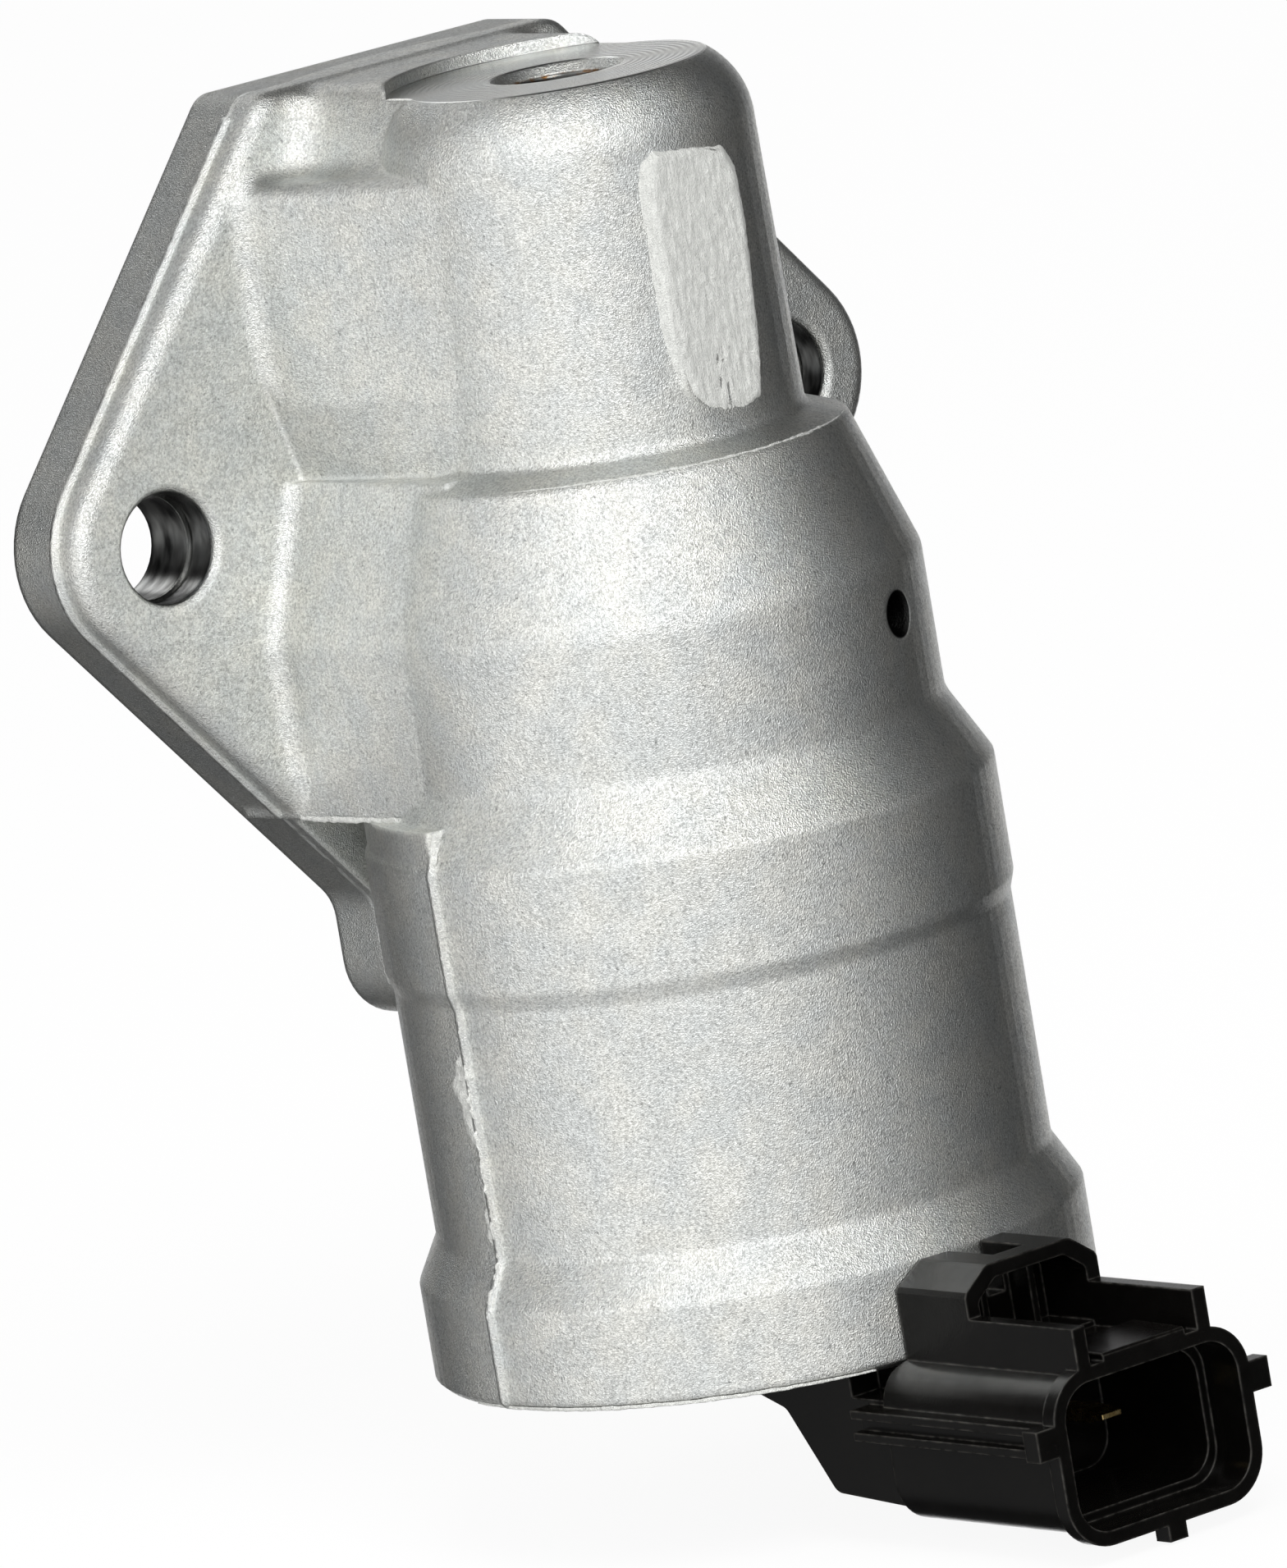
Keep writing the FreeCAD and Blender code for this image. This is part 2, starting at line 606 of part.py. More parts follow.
# Valve
def shaft_guide():
    flange_r = LOWER_R - FIT
    bore = BUSH_R + FIT
    return turned([(bore, GUIDE_BASE, 0), (flange_r, GUIDE_BASE, 0), (flange_r, SPRING_FLOOR, 0.2),
                   (GUIDE_R, SPRING_FLOOR, 0.3), (GUIDE_R, GUIDE_TOP_Z, 0.4), (bore, GUIDE_TOP_Z, 0)])


def upper_bush():
    return ring(BUSH_R, SHAFT_R + RUN, GUIDE_BASE, GUIDE_TOP_Z)


def valve_shaft():
    return turned([(0, SHAFT_BOTTOM, 0), (SHAFT_R, SHAFT_BOTTOM, 0.3), (SHAFT_R, CLIP_Z - 0.02, 0),
                   (CLIP_GROOVE_R, CLIP_Z - 0.02, 0), (CLIP_GROOVE_R, CLIP_Z + CLIP_T + 0.02, 0),
                   (SHAFT_R, CLIP_Z + CLIP_T + 0.02, 0), (SHAFT_R, SHAFT_TOP, 0.3), (0, SHAFT_TOP, 0)])


def valve_seat():
    bore, top = SEAT_BORE_R, SEAT_SHOULDER
    return turned([(bore, top, 0), (bore, SEAT_LOW + SEAT_CHAMFER, 0), (bore + SEAT_CHAMFER, SEAT_LOW, 0),
                   (SEAT_OUT_R, SEAT_LOW, 0.2), (SEAT_OUT_R, top, 0)])


def valve_head():
    """Poppet: a 45 degree cone that closes upwards against the seat."""
    bore = SHAFT_R
    widest = SEAT_LOW - (HEAD_R - HEAD_FACE_R)
    crown = SEAT_LOW + HEAD_FACE_H
    return turned([(bore, crown, 0), (HEAD_FACE_R - HEAD_FACE_H, crown, 0.3),
                   (HEAD_R, widest, 0.2), (HEAD_R, HEAD_UNDER, 0.3), (HEAD_HUB_R, HEAD_UNDER, 0.3),
                   (HEAD_HUB_R, HEAD_UNDER - HEAD_HUB_L, 0.3), (bore, HEAD_UNDER - HEAD_HUB_L, 0)])


def head_clip():
    clip = ring(CLIP_R, CLIP_GROOVE_R + 0.02, CLIP_Z, CLIP_Z + CLIP_T)
    half = CLIP_GROOVE_R
    return clip.cut(box(-half, half, AXIS_Y, AXIS_Y + CLIP_R + 1, CLIP_Z - 1, CLIP_Z + CLIP_T + 1))


def return_spring():
    return spring(RETURN_COIL_R, RETURN_WIRE_R, SPRING_FLOOR, HEAD_UNDER, RETURN_TURNS)


def spring_cup():
    inside = SHAFT_R + FIT
    top = CUP_BOTTOM + CUP_H
    return turned([(0, SHAFT_TOP, 0), (inside, SHAFT_TOP, 0), (inside, CUP_BOTTOM, 0),
                   (CUP_R, CUP_BOTTOM, 0.2), (CUP_R, top, 0), (CUP_PIN_R, top, 0),
                   (CUP_PIN_R, top + CUP_PIN_H, 0.2), (0, top + CUP_PIN_H, 0)])


def balance_spring():
    return spring(BALANCE_COIL_R, BALANCE_WIRE_R, CUP_BOTTOM + CUP_H, SCREW_CEILING, BALANCE_TURNS)


def adjusting_screw():
    """Set screw that loads the balance spring: a pocket below, a slot for the driver on top."""
    crest = ADJUSTER_BORE_R - FIT
    screw = turned([(SCREW_POCKET_R, SCREW_BOTTOM, 0), (crest - SCREW_LEAD, SCREW_BOTTOM, 0),
                    (crest, SCREW_BOTTOM + SCREW_LEAD, 0), (crest, SCREW_TOP, 0), (0, SCREW_TOP, 0),
                    (0, SCREW_CEILING, 0), (SCREW_POCKET_R, SCREW_CEILING, 0)])
    return screw.cut(driver_slot(crest, SCREW_TOP + 1))


def driver_slot(half, top):
    return box(-half, half, AXIS_Y - SLOT_W / 2, AXIS_Y + SLOT_W / 2, SCREW_TOP - SLOT_DEPTH, top)


def locking_compound():
    """Dried sealing paint poured over the set screw, filling its slot."""
    radius = ADJUSTER_BORE_R - FIT
    cap = turned([(0, SCREW_TOP, 0), (radius, SCREW_TOP, 0), (radius, SCREW_TOP + COMPOUND_T + 0.2, 0.3),
                  (0, SCREW_TOP + COMPOUND_T, 0)])
    fill = driver_slot(radius, SCREW_TOP + 0.1).common(rod(radius, SCREW_TOP - 2, SCREW_TOP + 1))
    return cap.fuse(fill).removeSplitter()


# Plug end
def terminal(side):
    """Brass strip: pin in the socket, bent up to meet the coil lead."""
    x = side * PIN_X
    tip = MOUTH_Y + PIN_TIP_BACK
    low, high = PIN_Z - PIN_T / 2, PIN_Z + PIN_T / 2
    front, back = PIN_POST_Y - PIN_T / 2, PIN_POST_Y + PIN_T / 2
    post_top = CAP_SPIGOT_TOP - 0.2
    profile = [(tip, PIN_Z - PIN_TIP_T / 2, 0), (tip, PIN_Z + PIN_TIP_T / 2, 0),
               (tip + PIN_TAPER_L, high, 0), (front, high, 0.3), (front, post_top, 0),
               (back, post_top, 0), (back, low, 1.0), (tip + PIN_TAPER_L, low, 0)]
    strip = drawn_x(profile, PIN_W / 2)
    strip.translate(V(x, 0, 0))
    return strip


def terminal_left():
    return terminal(-1)


def terminal_right():
    return terminal(1)


def cap_seal():
    """Rubber ring; its round section is drawn eight-sided."""
    z = CAP_SPIGOT_TOP - SPIGOT_ROOF - SEAL_GROOVE_H / 2
    middle = COIL_BORE_R - 0.02 - SEAL_R
    angles = [radians(22.5 + 45 * i) for i in range(8)]
    return turned([(middle + SEAL_R * cos(a), z + SEAL_R * sin(a), 0) for a in angles])


def rounded_block(half_w, z0, z1, corner, y0, y1):
    return drawn_y([(-half_w, z0, corner), (half_w, z0, corner),
                    (half_w, z1, corner), (-half_w, z1, corner)], y0, y1)


def socket_outside():
    """Rounded tube with a thicker rim, its lower part running back under the lip of the casting."""
    half = MOUTH_W / 2 - MOUTH_RIM
    low, high = SOCKET_BOTTOM + MOUTH_RIM + TUBE_RISE, SOCKET_TOP - MOUTH_RIM
    tube = rounded_block(half, low, high, MOUTH_CORNER - MOUTH_RIM, MOUTH_Y, SOCKET_BACK + TUBE_TUCK)
    above_lip_end = LIP_BOTTOM - LIP_GAP
    tube = tube.cut(rod(LIP_R + LIP_GAP, above_lip_end, high + 1))
    rim = rounded_block(MOUTH_W / 2, SOCKET_BOTTOM, SOCKET_TOP, MOUTH_CORNER,
                        MOUTH_Y, MOUTH_Y + RIM_L)
    return tube.fuse(rim)


def socket_cavity():
    """Plug space: a wide mouth, then a step down to the part that holds the pins."""
    half = MOUTH_W / 2 - SOCKET_WALL
    low, high = SOCKET_BOTTOM + SOCKET_WALL, SOCKET_TOP - SOCKET_WALL
    mouth = rounded_block(half, low, high, MOUTH_CORNER - 0.9, MOUTH_Y - 1, MOUTH_Y + STEP_DEPTH)
    deep = rounded_block(half - STEP_IN, low + STEP_IN, high - STEP_IN, MOUTH_CORNER - 1.2,
                         MOUTH_Y - 1, MOUTH_Y + SOCKET_DEPTH)
    return mouth.fuse(deep)


def latch_block():
    """Hollow block in front of the lip that the latch of the mating plug slides into."""
    front = SOCKET_BACK - BLOCK_L
    across, down = BLOCK_CHAMFER
    left = [(-BLOCK_HALF + across, BLOCK_TOP, 0.4), (-BLOCK_HALF, BLOCK_TOP - down, 0.4),
            (-BLOCK_HALF, SOCKET_TOP - 1.5, 0)]
    block = drawn_y(mirrored(left), front, AXIS_Y)
    inner = BLOCK_HALF - GUIDE_T
    roof = BLOCK_TOP - BLOCK_WALL
    hollow = [(-inner + across - 0.4, roof, 0.3), (-inner, roof - down + 0.3, 0.3), (-inner, SOCKET_TOP, 0)]
    back_wall = 1.6
    block = block.cut(drawn_y(mirrored(hollow), front - 1, SOCKET_BACK - back_wall))
    block = block.cut(box(-WINDOW_HALF, WINDOW_HALF, SOCKET_BACK - WINDOW_L, SOCKET_BACK + 3,
                          BLOCK_TOP - 3, BLOCK_TOP + 1))
    for x in (-RIB_X, RIB_X):
        block = block.fuse(box(x - RIB_T / 2, x + RIB_T / 2, front + RIB_BACK, SOCKET_BACK - 1,
                               SOCKET_TOP - 0.5, BLOCK_TOP - BLOCK_WALL / 2))
    beside_cone = Part.makeCone(LIP_R + LIP_GAP, BARREL_R + LIP_GAP, BARREL_BOTTOM - LIP_TOP,
                                V(0, AXIS_Y, LIP_TOP))
    return block.cut(rod(LIP_R + LIP_GAP, LIP_BOTTOM - 6, LIP_TOP)).cut(beside_cone)


def on_side(side, near, far):
    """Low and high x of a piece that reaches from near to far on one side of the middle."""
    return sorted((side * near, side * far))


def latch_parts():
    """Guide walls, the ramp between them, grooved side rails, side tabs and the key below."""
    pieces = []
    half = MOUTH_W / 2
    rail_bottom = RAIL_TOP - RAIL_H
    rail_middle = RAIL_TOP - RAIL_H / 2
    rail_start, rail_end = MOUTH_Y + RIM_L, SOCKET_BACK + TUBE_TUCK + RAIL_BACK
    for side in (-1, 1):
        x0, x1 = on_side(side, BLOCK_HALF - GUIDE_T, BLOCK_HALF)
        pieces.append(box(x0, x1, MOUTH_Y, SOCKET_BACK - BLOCK_L + 0.5, SOCKET_TOP - 1.2, GUIDE_TOP))
        x0, x1 = on_side(side, half - 1, half + RAIL_OUT)
        rail = box(x0, x1, rail_start, rail_end, rail_bottom, RAIL_TOP)
        rail = rail.cut(rod(LIP_R + LIP_GAP, LIP_BOTTOM - LIP_GAP, LIP_TOP))
        x0, x1 = on_side(side, half + 0.1, half + 2)
        groove_low, groove_high = rail_middle - RAIL_GROOVE / 2, rail_middle + RAIL_GROOVE / 2
        pieces.append(rail.cut(box(x0, x1, rail_start, rail_end + 1, groove_low, groove_high)))
        x0, x1 = on_side(side, half - 1, half + TAB_OUT)
        pieces.append(box(x0, x1, MOUTH_Y, MOUTH_Y + TAB_L, rail_bottom, RAIL_TOP))
    root = SOCKET_TOP - 0.8
    ramp_back = MOUTH_Y + RAMP_L
    pieces.append(drawn_x([(MOUTH_Y, root, 0), (MOUTH_Y, SOCKET_TOP + RAMP_FRONT_H, 0.15),
                           (ramp_back, SOCKET_TOP + RAMP_BACK_H, 0.3), (ramp_back, root, 0)], RAMP_HALF))
    pieces.append(box(KEY_X - KEY_HALF, KEY_X + KEY_HALF, MOUTH_Y, MOUTH_Y + KEY_L,
                      SOCKET_BOTTOM - KEY_H, SOCKET_BOTTOM + 1))
    return pieces


def end_cap():
    flange_r = CAP_RECESS_R - FIT
    crimp = LIP_BOTTOM + CRIMP_T
    groove_top = CAP_SPIGOT_TOP - SPIGOT_ROOF
    cap = turned([(0, CAP_SPIGOT_TOP, 0), (SPIGOT_R, CAP_SPIGOT_TOP, 0.2), (SPIGOT_R, groove_top, 0),
                  (SEAL_GROOVE_R, groove_top, 0), (SEAL_GROOVE_R, groove_top - SEAL_GROOVE_H, 0),
                  (SPIGOT_R, groove_top - SEAL_GROOVE_H, 0), (SPIGOT_R, CAP_SEAT, 0), (flange_r, CAP_SEAT, 0),
                  (flange_r, crimp, 0), (CRIMP_R - FIT, crimp, 0), (CRIMP_R - FIT, CAP_FACE, 0.3),
                  (0, CAP_FACE, 0)])
    front = AXIS_Y - CRIMP_R + 0.5
    root = (CAP_FACE + LIP_BOTTOM) / 2
    neck_front = SOCKET_BACK + TUBE_TUCK - FIT
    bends = [(AXIS_Y - ahead, CAP_FACE - below, 1.0) for ahead, below in NECK_BEND]
    neck = drawn_x([(AXIS_Y - 1, root, 0), (AXIS_Y - 1, CAP_FACE, 0)] + bends +
                   [(neck_front, NECK_BOTTOM, 0), (neck_front, CAP_FACE, 0), (front, CAP_FACE, 0),
                    (front, root, 0)], NECK_HALF)
    width, length, depth = NECK_NOTCH
    for side in (-1, 1):
        x0, x1 = on_side(side, NECK_HALF - width, NECK_HALF + 1)
        neck = neck.cut(box(x0, x1, SOCKET_BACK, SOCKET_BACK + TUBE_TUCK + length,
                            CAP_FACE - depth, CAP_FACE + 2))
    shape = cap.fuse(neck).fuse(socket_outside()).fuse(latch_block())
    for piece in latch_parts():
        shape = shape.fuse(piece)
    shape = shape.cut(socket_cavity())
    shape = shape.cut(rod(SHAFT_R + 1.0, SHAFT_BOTTOM - TRAVEL - 1, CAP_SPIGOT_TOP + 1))
    shape = shape.cut(pin_slot(CAP_SPIGOT_TOP - POCKET_DEPTH, CAP_SPIGOT_TOP + 1))
    for side in (-1, 1):
        shape = shape.cut(terminal(side))
    return shape.removeSplitter()


# Every piece by name
NODES = {
    "valve_body": valve_body,
    "locking_compound": locking_compound,
    "adjusting_screw": adjusting_screw,
    "balance_spring": balance_spring,
    "spring_cup": spring_cup,
    "valve_shaft": valve_shaft,
    "valve_seat": valve_seat,
    "valve_head": valve_head,
    "head_clip": head_clip,
    "return_spring": return_spring,
    "shaft_guide": shaft_guide,
    "upper_bush": upper_bush,
    "pole_plate": pole_plate,
    "plunger": plunger,
    "guide_sleeve": guide_sleeve,
    "coil_bobbin": coil_bobbin,
    "coil_winding": coil_winding,
    "coil_tape": coil_tape,
    "stop_shim": stop_shim,
    "fixed_core": fixed_core,
    "lower_bush": lower_bush,
    "yoke_shell": yoke_shell,
    "spring_washer": spring_washer,
    "cap_seal": cap_seal,
    "terminal_left": terminal_left,
    "terminal_right": terminal_right,
    "end_cap": end_cap,
}


def main():
    os.makedirs("parts", exist_ok=True)
    for name, make in NODES.items():
        shape = make()
        solid = shape.Solids[0] if len(shape.Solids) == 1 else shape
        solid.exportStep("parts/" + name + ".step")
        print(name, len(shape.Solids), "solid,", round(shape.Volume, 1), "mm3, valid", shape.isValid())


main()
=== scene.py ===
# %% [markdown]
# # An idle air control valve, dressed for a studio picture
# The frame is a finished CAD model: a die-cast body, a valve and solenoid inside it, and a black
# plug socket. Blender adds what a drawing leaves out: the skin of the casting, the torn flash,
# the broken gate, the sheen of the plastic, and the light. Every length below is in metres unless
# its name ends in _mm.

from math import cos, hypot, pi, radians, sin, sqrt

import bpy
from mathutils import Matrix, Vector, noise


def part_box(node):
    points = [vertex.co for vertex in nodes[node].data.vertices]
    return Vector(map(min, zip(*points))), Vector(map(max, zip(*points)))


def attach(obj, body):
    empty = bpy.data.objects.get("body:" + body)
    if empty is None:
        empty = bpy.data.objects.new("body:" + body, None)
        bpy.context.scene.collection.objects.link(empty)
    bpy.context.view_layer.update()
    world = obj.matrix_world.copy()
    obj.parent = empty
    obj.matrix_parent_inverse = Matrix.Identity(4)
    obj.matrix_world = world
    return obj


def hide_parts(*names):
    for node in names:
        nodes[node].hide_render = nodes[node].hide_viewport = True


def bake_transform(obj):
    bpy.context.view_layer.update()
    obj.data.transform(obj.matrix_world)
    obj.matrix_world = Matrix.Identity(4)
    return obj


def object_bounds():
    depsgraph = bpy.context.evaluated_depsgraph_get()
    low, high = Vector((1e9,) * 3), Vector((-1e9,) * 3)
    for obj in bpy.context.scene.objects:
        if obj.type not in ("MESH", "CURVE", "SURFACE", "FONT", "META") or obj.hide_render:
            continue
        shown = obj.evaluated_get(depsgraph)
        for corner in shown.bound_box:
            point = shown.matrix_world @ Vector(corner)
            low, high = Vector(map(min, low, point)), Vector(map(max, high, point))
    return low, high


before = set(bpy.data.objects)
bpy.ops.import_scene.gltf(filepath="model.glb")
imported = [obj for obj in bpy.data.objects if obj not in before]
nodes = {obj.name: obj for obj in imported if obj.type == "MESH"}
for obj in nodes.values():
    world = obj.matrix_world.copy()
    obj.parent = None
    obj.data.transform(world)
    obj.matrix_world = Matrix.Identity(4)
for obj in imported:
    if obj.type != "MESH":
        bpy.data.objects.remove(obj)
cad_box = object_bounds()
MM = 0.001
AXIS_Y_MM = -20.8
print("nodes:", len(nodes), "box:", [[round(v, 4) for v in corner] for corner in cad_box])

# %% [markdown]
# ## The camera
# A product photographer stands back and uses a long lens, so that the flange and the plug keep
# their true proportions. About one metre away, turned 37 degrees to the left of the plug side and
# a little above. The object leans to the left in the frame, so the camera is rolled by the
# same angle instead of tilting the part: the part's own frame stays upright.

# %% Camera
CAMERA_PLACE = Vector((-0.590995, -0.804644, 0.148389))
CAMERA_AZIMUTH = radians(36.90)
CAMERA_HEIGHT = radians(9.709)
CAMERA_ROLL = radians(9.576)
FOCAL_PIXELS = 20001.3
PICTURE_HEIGHT = 1911
SENSOR_MM = 36.0


def camera_axes():
    """Right, up and backward directions of the camera."""
    back = Vector((-sin(CAMERA_AZIMUTH) * cos(CAMERA_HEIGHT),
                   -cos(CAMERA_AZIMUTH) * cos(CAMERA_HEIGHT), sin(CAMERA_HEIGHT)))
    level = Vector((cos(CAMERA_AZIMUTH), -sin(CAMERA_AZIMUTH), 0))
    above = back.cross(level)
    right = cos(CAMERA_ROLL) * level - sin(CAMERA_ROLL) * above
    up = sin(CAMERA_ROLL) * level + cos(CAMERA_ROLL) * above
    return right, up, back


right, up, back = camera_axes()
camera_data = bpy.data.cameras.new("studio_camera")
camera_data.sensor_width = SENSOR_MM
camera_data.lens = FOCAL_PIXELS / PICTURE_HEIGHT * SENSOR_MM
camera_data.clip_start = 0.05
camera_data.clip_end = 20
camera = bpy.data.objects.new("studio_camera", camera_data)
bpy.context.scene.collection.objects.link(camera)
turned = Matrix((right, up, back)).transposed().to_4x4()
camera.matrix_world = Matrix.Translation(CAMERA_PLACE) @ turned
bpy.context.scene.camera = camera
print("lens", round(camera_data.lens, 1), "mm")

# %% [markdown]
# ## Wiring shaders by hand
# A few helpers keep the materials short: one adds a node and fills its sockets, one does
# arithmetic, one makes a colour ramp. Node groups hold the effects that several finishes share.


# %% Node helpers
def put(tree, kind, values=None, **settings):
    """Add a node; settings are its properties, values go into input sockets or come from links."""
    node = tree.nodes.new(kind)
    for name, value in settings.items():
        setattr(node, name, value)
    for key, value in (values or {}).items():
        if isinstance(value, bpy.types.NodeSocket):
            tree.links.new(value, node.inputs[key])
        else:
            node.inputs[key].default_value = value
    return node


def math(tree, operation, a, b=0.0, clamp=False):
    node = put(tree, "ShaderNodeMath", {0: a, 1: b}, operation=operation, use_clamp=clamp)
    return node.outputs[0]


def times(tree, first, *others):
    """Product of several numbers or sockets."""
    for other in others:
        first = math(tree, "MULTIPLY", first, other)
    return first


def mix(tree, factor, a, b):
    """Blend two colours by a factor."""
    node = put(tree, "ShaderNodeMix", {0: factor, 6: a, 7: b}, data_type="RGBA")
    return node.outputs[2]


def blend(tree, factor, a, b):
    """Blend two numbers by a factor."""
    node = put(tree, "ShaderNodeMix", {0: factor, 2: a, 3: b}, data_type="FLOAT")
    return node.outputs[0]


def spread(tree, value, low, high, out_low=0.0, out_high=1.0, smooth=False):
    kind = "SMOOTHSTEP" if smooth else "LINEAR"
    node = put(tree, "ShaderNodeMapRange", {0: value, 1: low, 2: high, 3: out_low, 4: out_high},
               interpolation_type=kind)
    return node.outputs[0]


def cloud(tree, place, scale, detail=2.0, roughness=0.5):
    """Soft noise between 0 and 1; scale counts features per millimetre."""
    node = put(tree, "ShaderNodeTexNoise", {"Vector": place, "Scale": scale, "Detail": detail,
                                            "Roughness": roughness})
    return node.outputs["Fac"]


def stretched(tree, place, factors):
    node = put(tree, "ShaderNodeVectorMath", {0: place, 1: factors}, operation="MULTIPLY")
    return node.outputs[0]


def ramp(tree, factor, stops):
    """Grey ramp through (place, level) stops; levels stay under 1."""
    node = put(tree, "ShaderNodeValToRGB", {0: factor})
    elements = node.color_ramp.elements
    elements[0].position, elements[1].position = stops[0][0], stops[-1][0]
    elements[0].color, elements[1].color = grey(stops[0][1]), grey(stops[-1][1])
    for place, level in stops[1:-1]:
        elements.new(place).color = grey(level)
    return node.outputs[0]


def grey(level):
    return (level, level, level, 1.0)


def new_group(name, inputs, outputs):
    """Empty shader node group with typed sockets; inputs give (name, kind, default)."""
    tree = bpy.data.node_groups.new(name, "ShaderNodeTree")
    for label, kind, default in inputs:
        socket = tree.interface.new_socket(label, in_out="INPUT", socket_type="NodeSocket" + kind)
        if default is not None:
            socket.default_value = default
    for label, kind in outputs:
        tree.interface.new_socket(label, in_out="OUTPUT", socket_type="NodeSocket" + kind)
    return tree, tree.nodes.new("NodeGroupInput"), tree.nodes.new("NodeGroupOutput")


def use_group(tree, group, values=None):
    return put(tree, "ShaderNodeGroup", values, node_tree=group)


def place_mm(tree):
    """Position on the part in millimetres, in the part's own frame."""
    metres = tree.nodes.new("ShaderNodeTexCoord").outputs["Object"]
    scaled = put(tree, "ShaderNodeVectorMath", {0: metres, "Scale": 1 / MM}, operation="SCALE")
    return scaled.outputs[0]


print("helpers ready")

# %% [markdown]
# ## Shared effects
# *Grain* is the skin that blasting with steel shot leaves: overlapping dimples a sixth of a
# millimetre wide, with sparse dark specks and bright glints. *Edges* finds where two faces meet,
# by asking how far the rounded normal of the Bevel node leans away from the flat one. It lets a
# sharp CAD edge catch light like a real one. *Dust* is a faint pale film with specks, thicker
# where faces look up.


# %% Grain group
def build_grain():
    tree, given, out = new_group(
        "blast_grain",
        [("Place", "Vector", None), ("Size", "Float", 0.2)],
        [("Height", "Float"), ("Tone", "Float"), ("Specks", "Float"), ("Glints", "Float")])
    place = given.outputs["Place"]
    per_mm = math(tree, "DIVIDE", 1.0, given.outputs["Size"])
    coarse = cloud(tree, place, per_mm, 4.0, 0.75)
    twice = math(tree, "MULTIPLY", per_mm, 1.9)
    pits = put(tree, "ShaderNodeTexVoronoi", {"Vector": place, "Scale": twice}, feature="F1")
    dented = math(tree, "MULTIPLY", pits.outputs["Distance"], 1.1)
    height = blend(tree, 0.50, coarse, dented)
    broad = cloud(tree, place, math(tree, "MULTIPLY", per_mm, 0.13), 4.0, 0.6)
    tone = blend(tree, 0.12, coarse, broad)
    scattered = cloud(tree, place, math(tree, "MULTIPLY", per_mm, 0.62), 4.0, 0.8)
    specks = spread(tree, scattered, 0.41, 0.34)
    glints = spread(tree, scattered, 0.62, 0.68)
    made = {"Height": height, "Tone": tone, "Specks": specks, "Glints": glints}
    for name, source in made.items():
        tree.links.new(source, out.inputs[name])
    return tree


grain_group = build_grain()
print("grain group:", len(grain_group.nodes), "nodes")


# %% Edge group
def build_edges():
    tree, given, out = new_group(
        "soft_edges", [("Radius", "Float", 0.0003)], [("Normal", "Vector"), ("Edge", "Float")])
    bevel = put(tree, "ShaderNodeBevel", {"Radius": given.outputs["Radius"]}, samples=8)
    flat = tree.nodes.new("ShaderNodeNewGeometry")
    lean = put(tree, "ShaderNodeVectorMath", {0: bevel.outputs[0], 1: flat.outputs["True Normal"]},
               operation="DOT_PRODUCT")
    edge = spread(tree, lean.outputs["Value"], 0.995, 0.80)
    tree.links.new(bevel.outputs[0], out.inputs["Normal"])
    tree.links.new(edge, out.inputs["Edge"])
    return tree


edge_group = build_edges()
print("edge group:", len(edge_group.nodes), "nodes")


# %% Dust group
def build_dust():
    tree, given, out = new_group(
        "settled_dust",
        [("Place", "Vector", None), ("Amount", "Float", 0.3)],
        [("Mask", "Float")])
    place = given.outputs["Place"]
    dots = spread(tree, cloud(tree, place, 3.2, 5.0, 0.75), 0.62, 0.72)
    patches = spread(tree, cloud(tree, place, 0.18), 0.35, 0.70, 0.05, 0.4)
    flat = tree.nodes.new("ShaderNodeNewGeometry")
    parts = put(tree, "ShaderNodeSeparateXYZ", {0: flat.outputs["Normal"]})
    upward = spread(tree, parts.outputs["Z"], -0.2, 0.9, 0.25, 1.0)
    both = math(tree, "ADD", dots, patches)
    mask = math(tree, "MULTIPLY", times(tree, both, upward), given.outputs["Amount"], clamp=True)
    tree.links.new(mask, out.inputs["Mask"])
    return tree


dust_group = build_dust()
print("dust group:", len(dust_group.nodes), "nodes")


# %% Material helpers
def new_material(name):
    """Fresh material; returns it, its tree and its Principled BSDF."""
    material = bpy.data.materials.new(name)
    material.use_nodes = True
    tree = material.node_tree
    return material, tree, tree.nodes["Principled BSDF"]


def feed(tree, shader, links):
    for name, source in links.items():
        if isinstance(source, bpy.types.NodeSocket):
            tree.links.new(source, shader.inputs[name])
        else:
            shader.inputs[name].default_value = source


def bump(tree, height, normal, distance):
    """Normal from a height between 0 and 1 that stands for a distance in metres."""
    node = put(tree, "ShaderNodeBump", {"Height": height, "Distance": distance, "Strength": 1.0})
    if normal is not None:
        tree.links.new(normal, node.inputs["Normal"])
    return node.outputs[0]


def tinted(tree, level, red=1.0, green=1.0, blue=1.0):
    """Colour from one level and a share for each channel."""
    channels = [math(tree, "MULTIPLY", level, share) for share in (red, green, blue)]
    node = put(tree, "ShaderNodeCombineColor", {0: channels[0], 1: channels[1], 2: channels[2]})
    return node.outputs[0]


# %% [markdown]
# ## The casting
# Die-cast aluminium comes out of the mould bright, then is tumbled with shot until it is an even,
# sparkling grey. One material covers the whole body, because on the real part it is one piece of
# metal; masks by position say where a tool has been: the spot face on top, the bores, the mounting
# face behind. The same masks paint shade into the colour: the hollows inside go almost black, the
# tapped hole and the bolt bores go dark, with a painted glint at the bores' step, and the tongue
# under the barrel is darker. The half of the flange behind the parting line was formed by the other
# mould half; its colour is darkened, most towards the top, partly as a duller skin and partly as
# painted shade. A thin bright line marks where the halves met.

# %% Where things are on the casting
PARTING_Y_MM = -4.2
DISC_Z_MM, DISC_R_MM = 24.3, 10.4
BOLT_X_MM, BOLT_R_MM, BOLT_STEP_Y_MM = 24.1, 3.4, -4.1
VENT_TURN = radians(23.7)
VENT_Z_MM, VENT_R_MM = -10.5, 1.4


def near(tree, value, middle, reach, soft):
    """1 where a number lies within reach of middle, fading over soft."""
    away = math(tree, "ABSOLUTE", math(tree, "SUBTRACT", value, middle))
    return spread(tree, away, reach + soft, reach)


def length_of(tree, a, b):
    both = math(tree, "ADD", math(tree, "MULTIPLY", a, a), math(tree, "MULTIPLY", b, b))
    return math(tree, "SQRT", both)


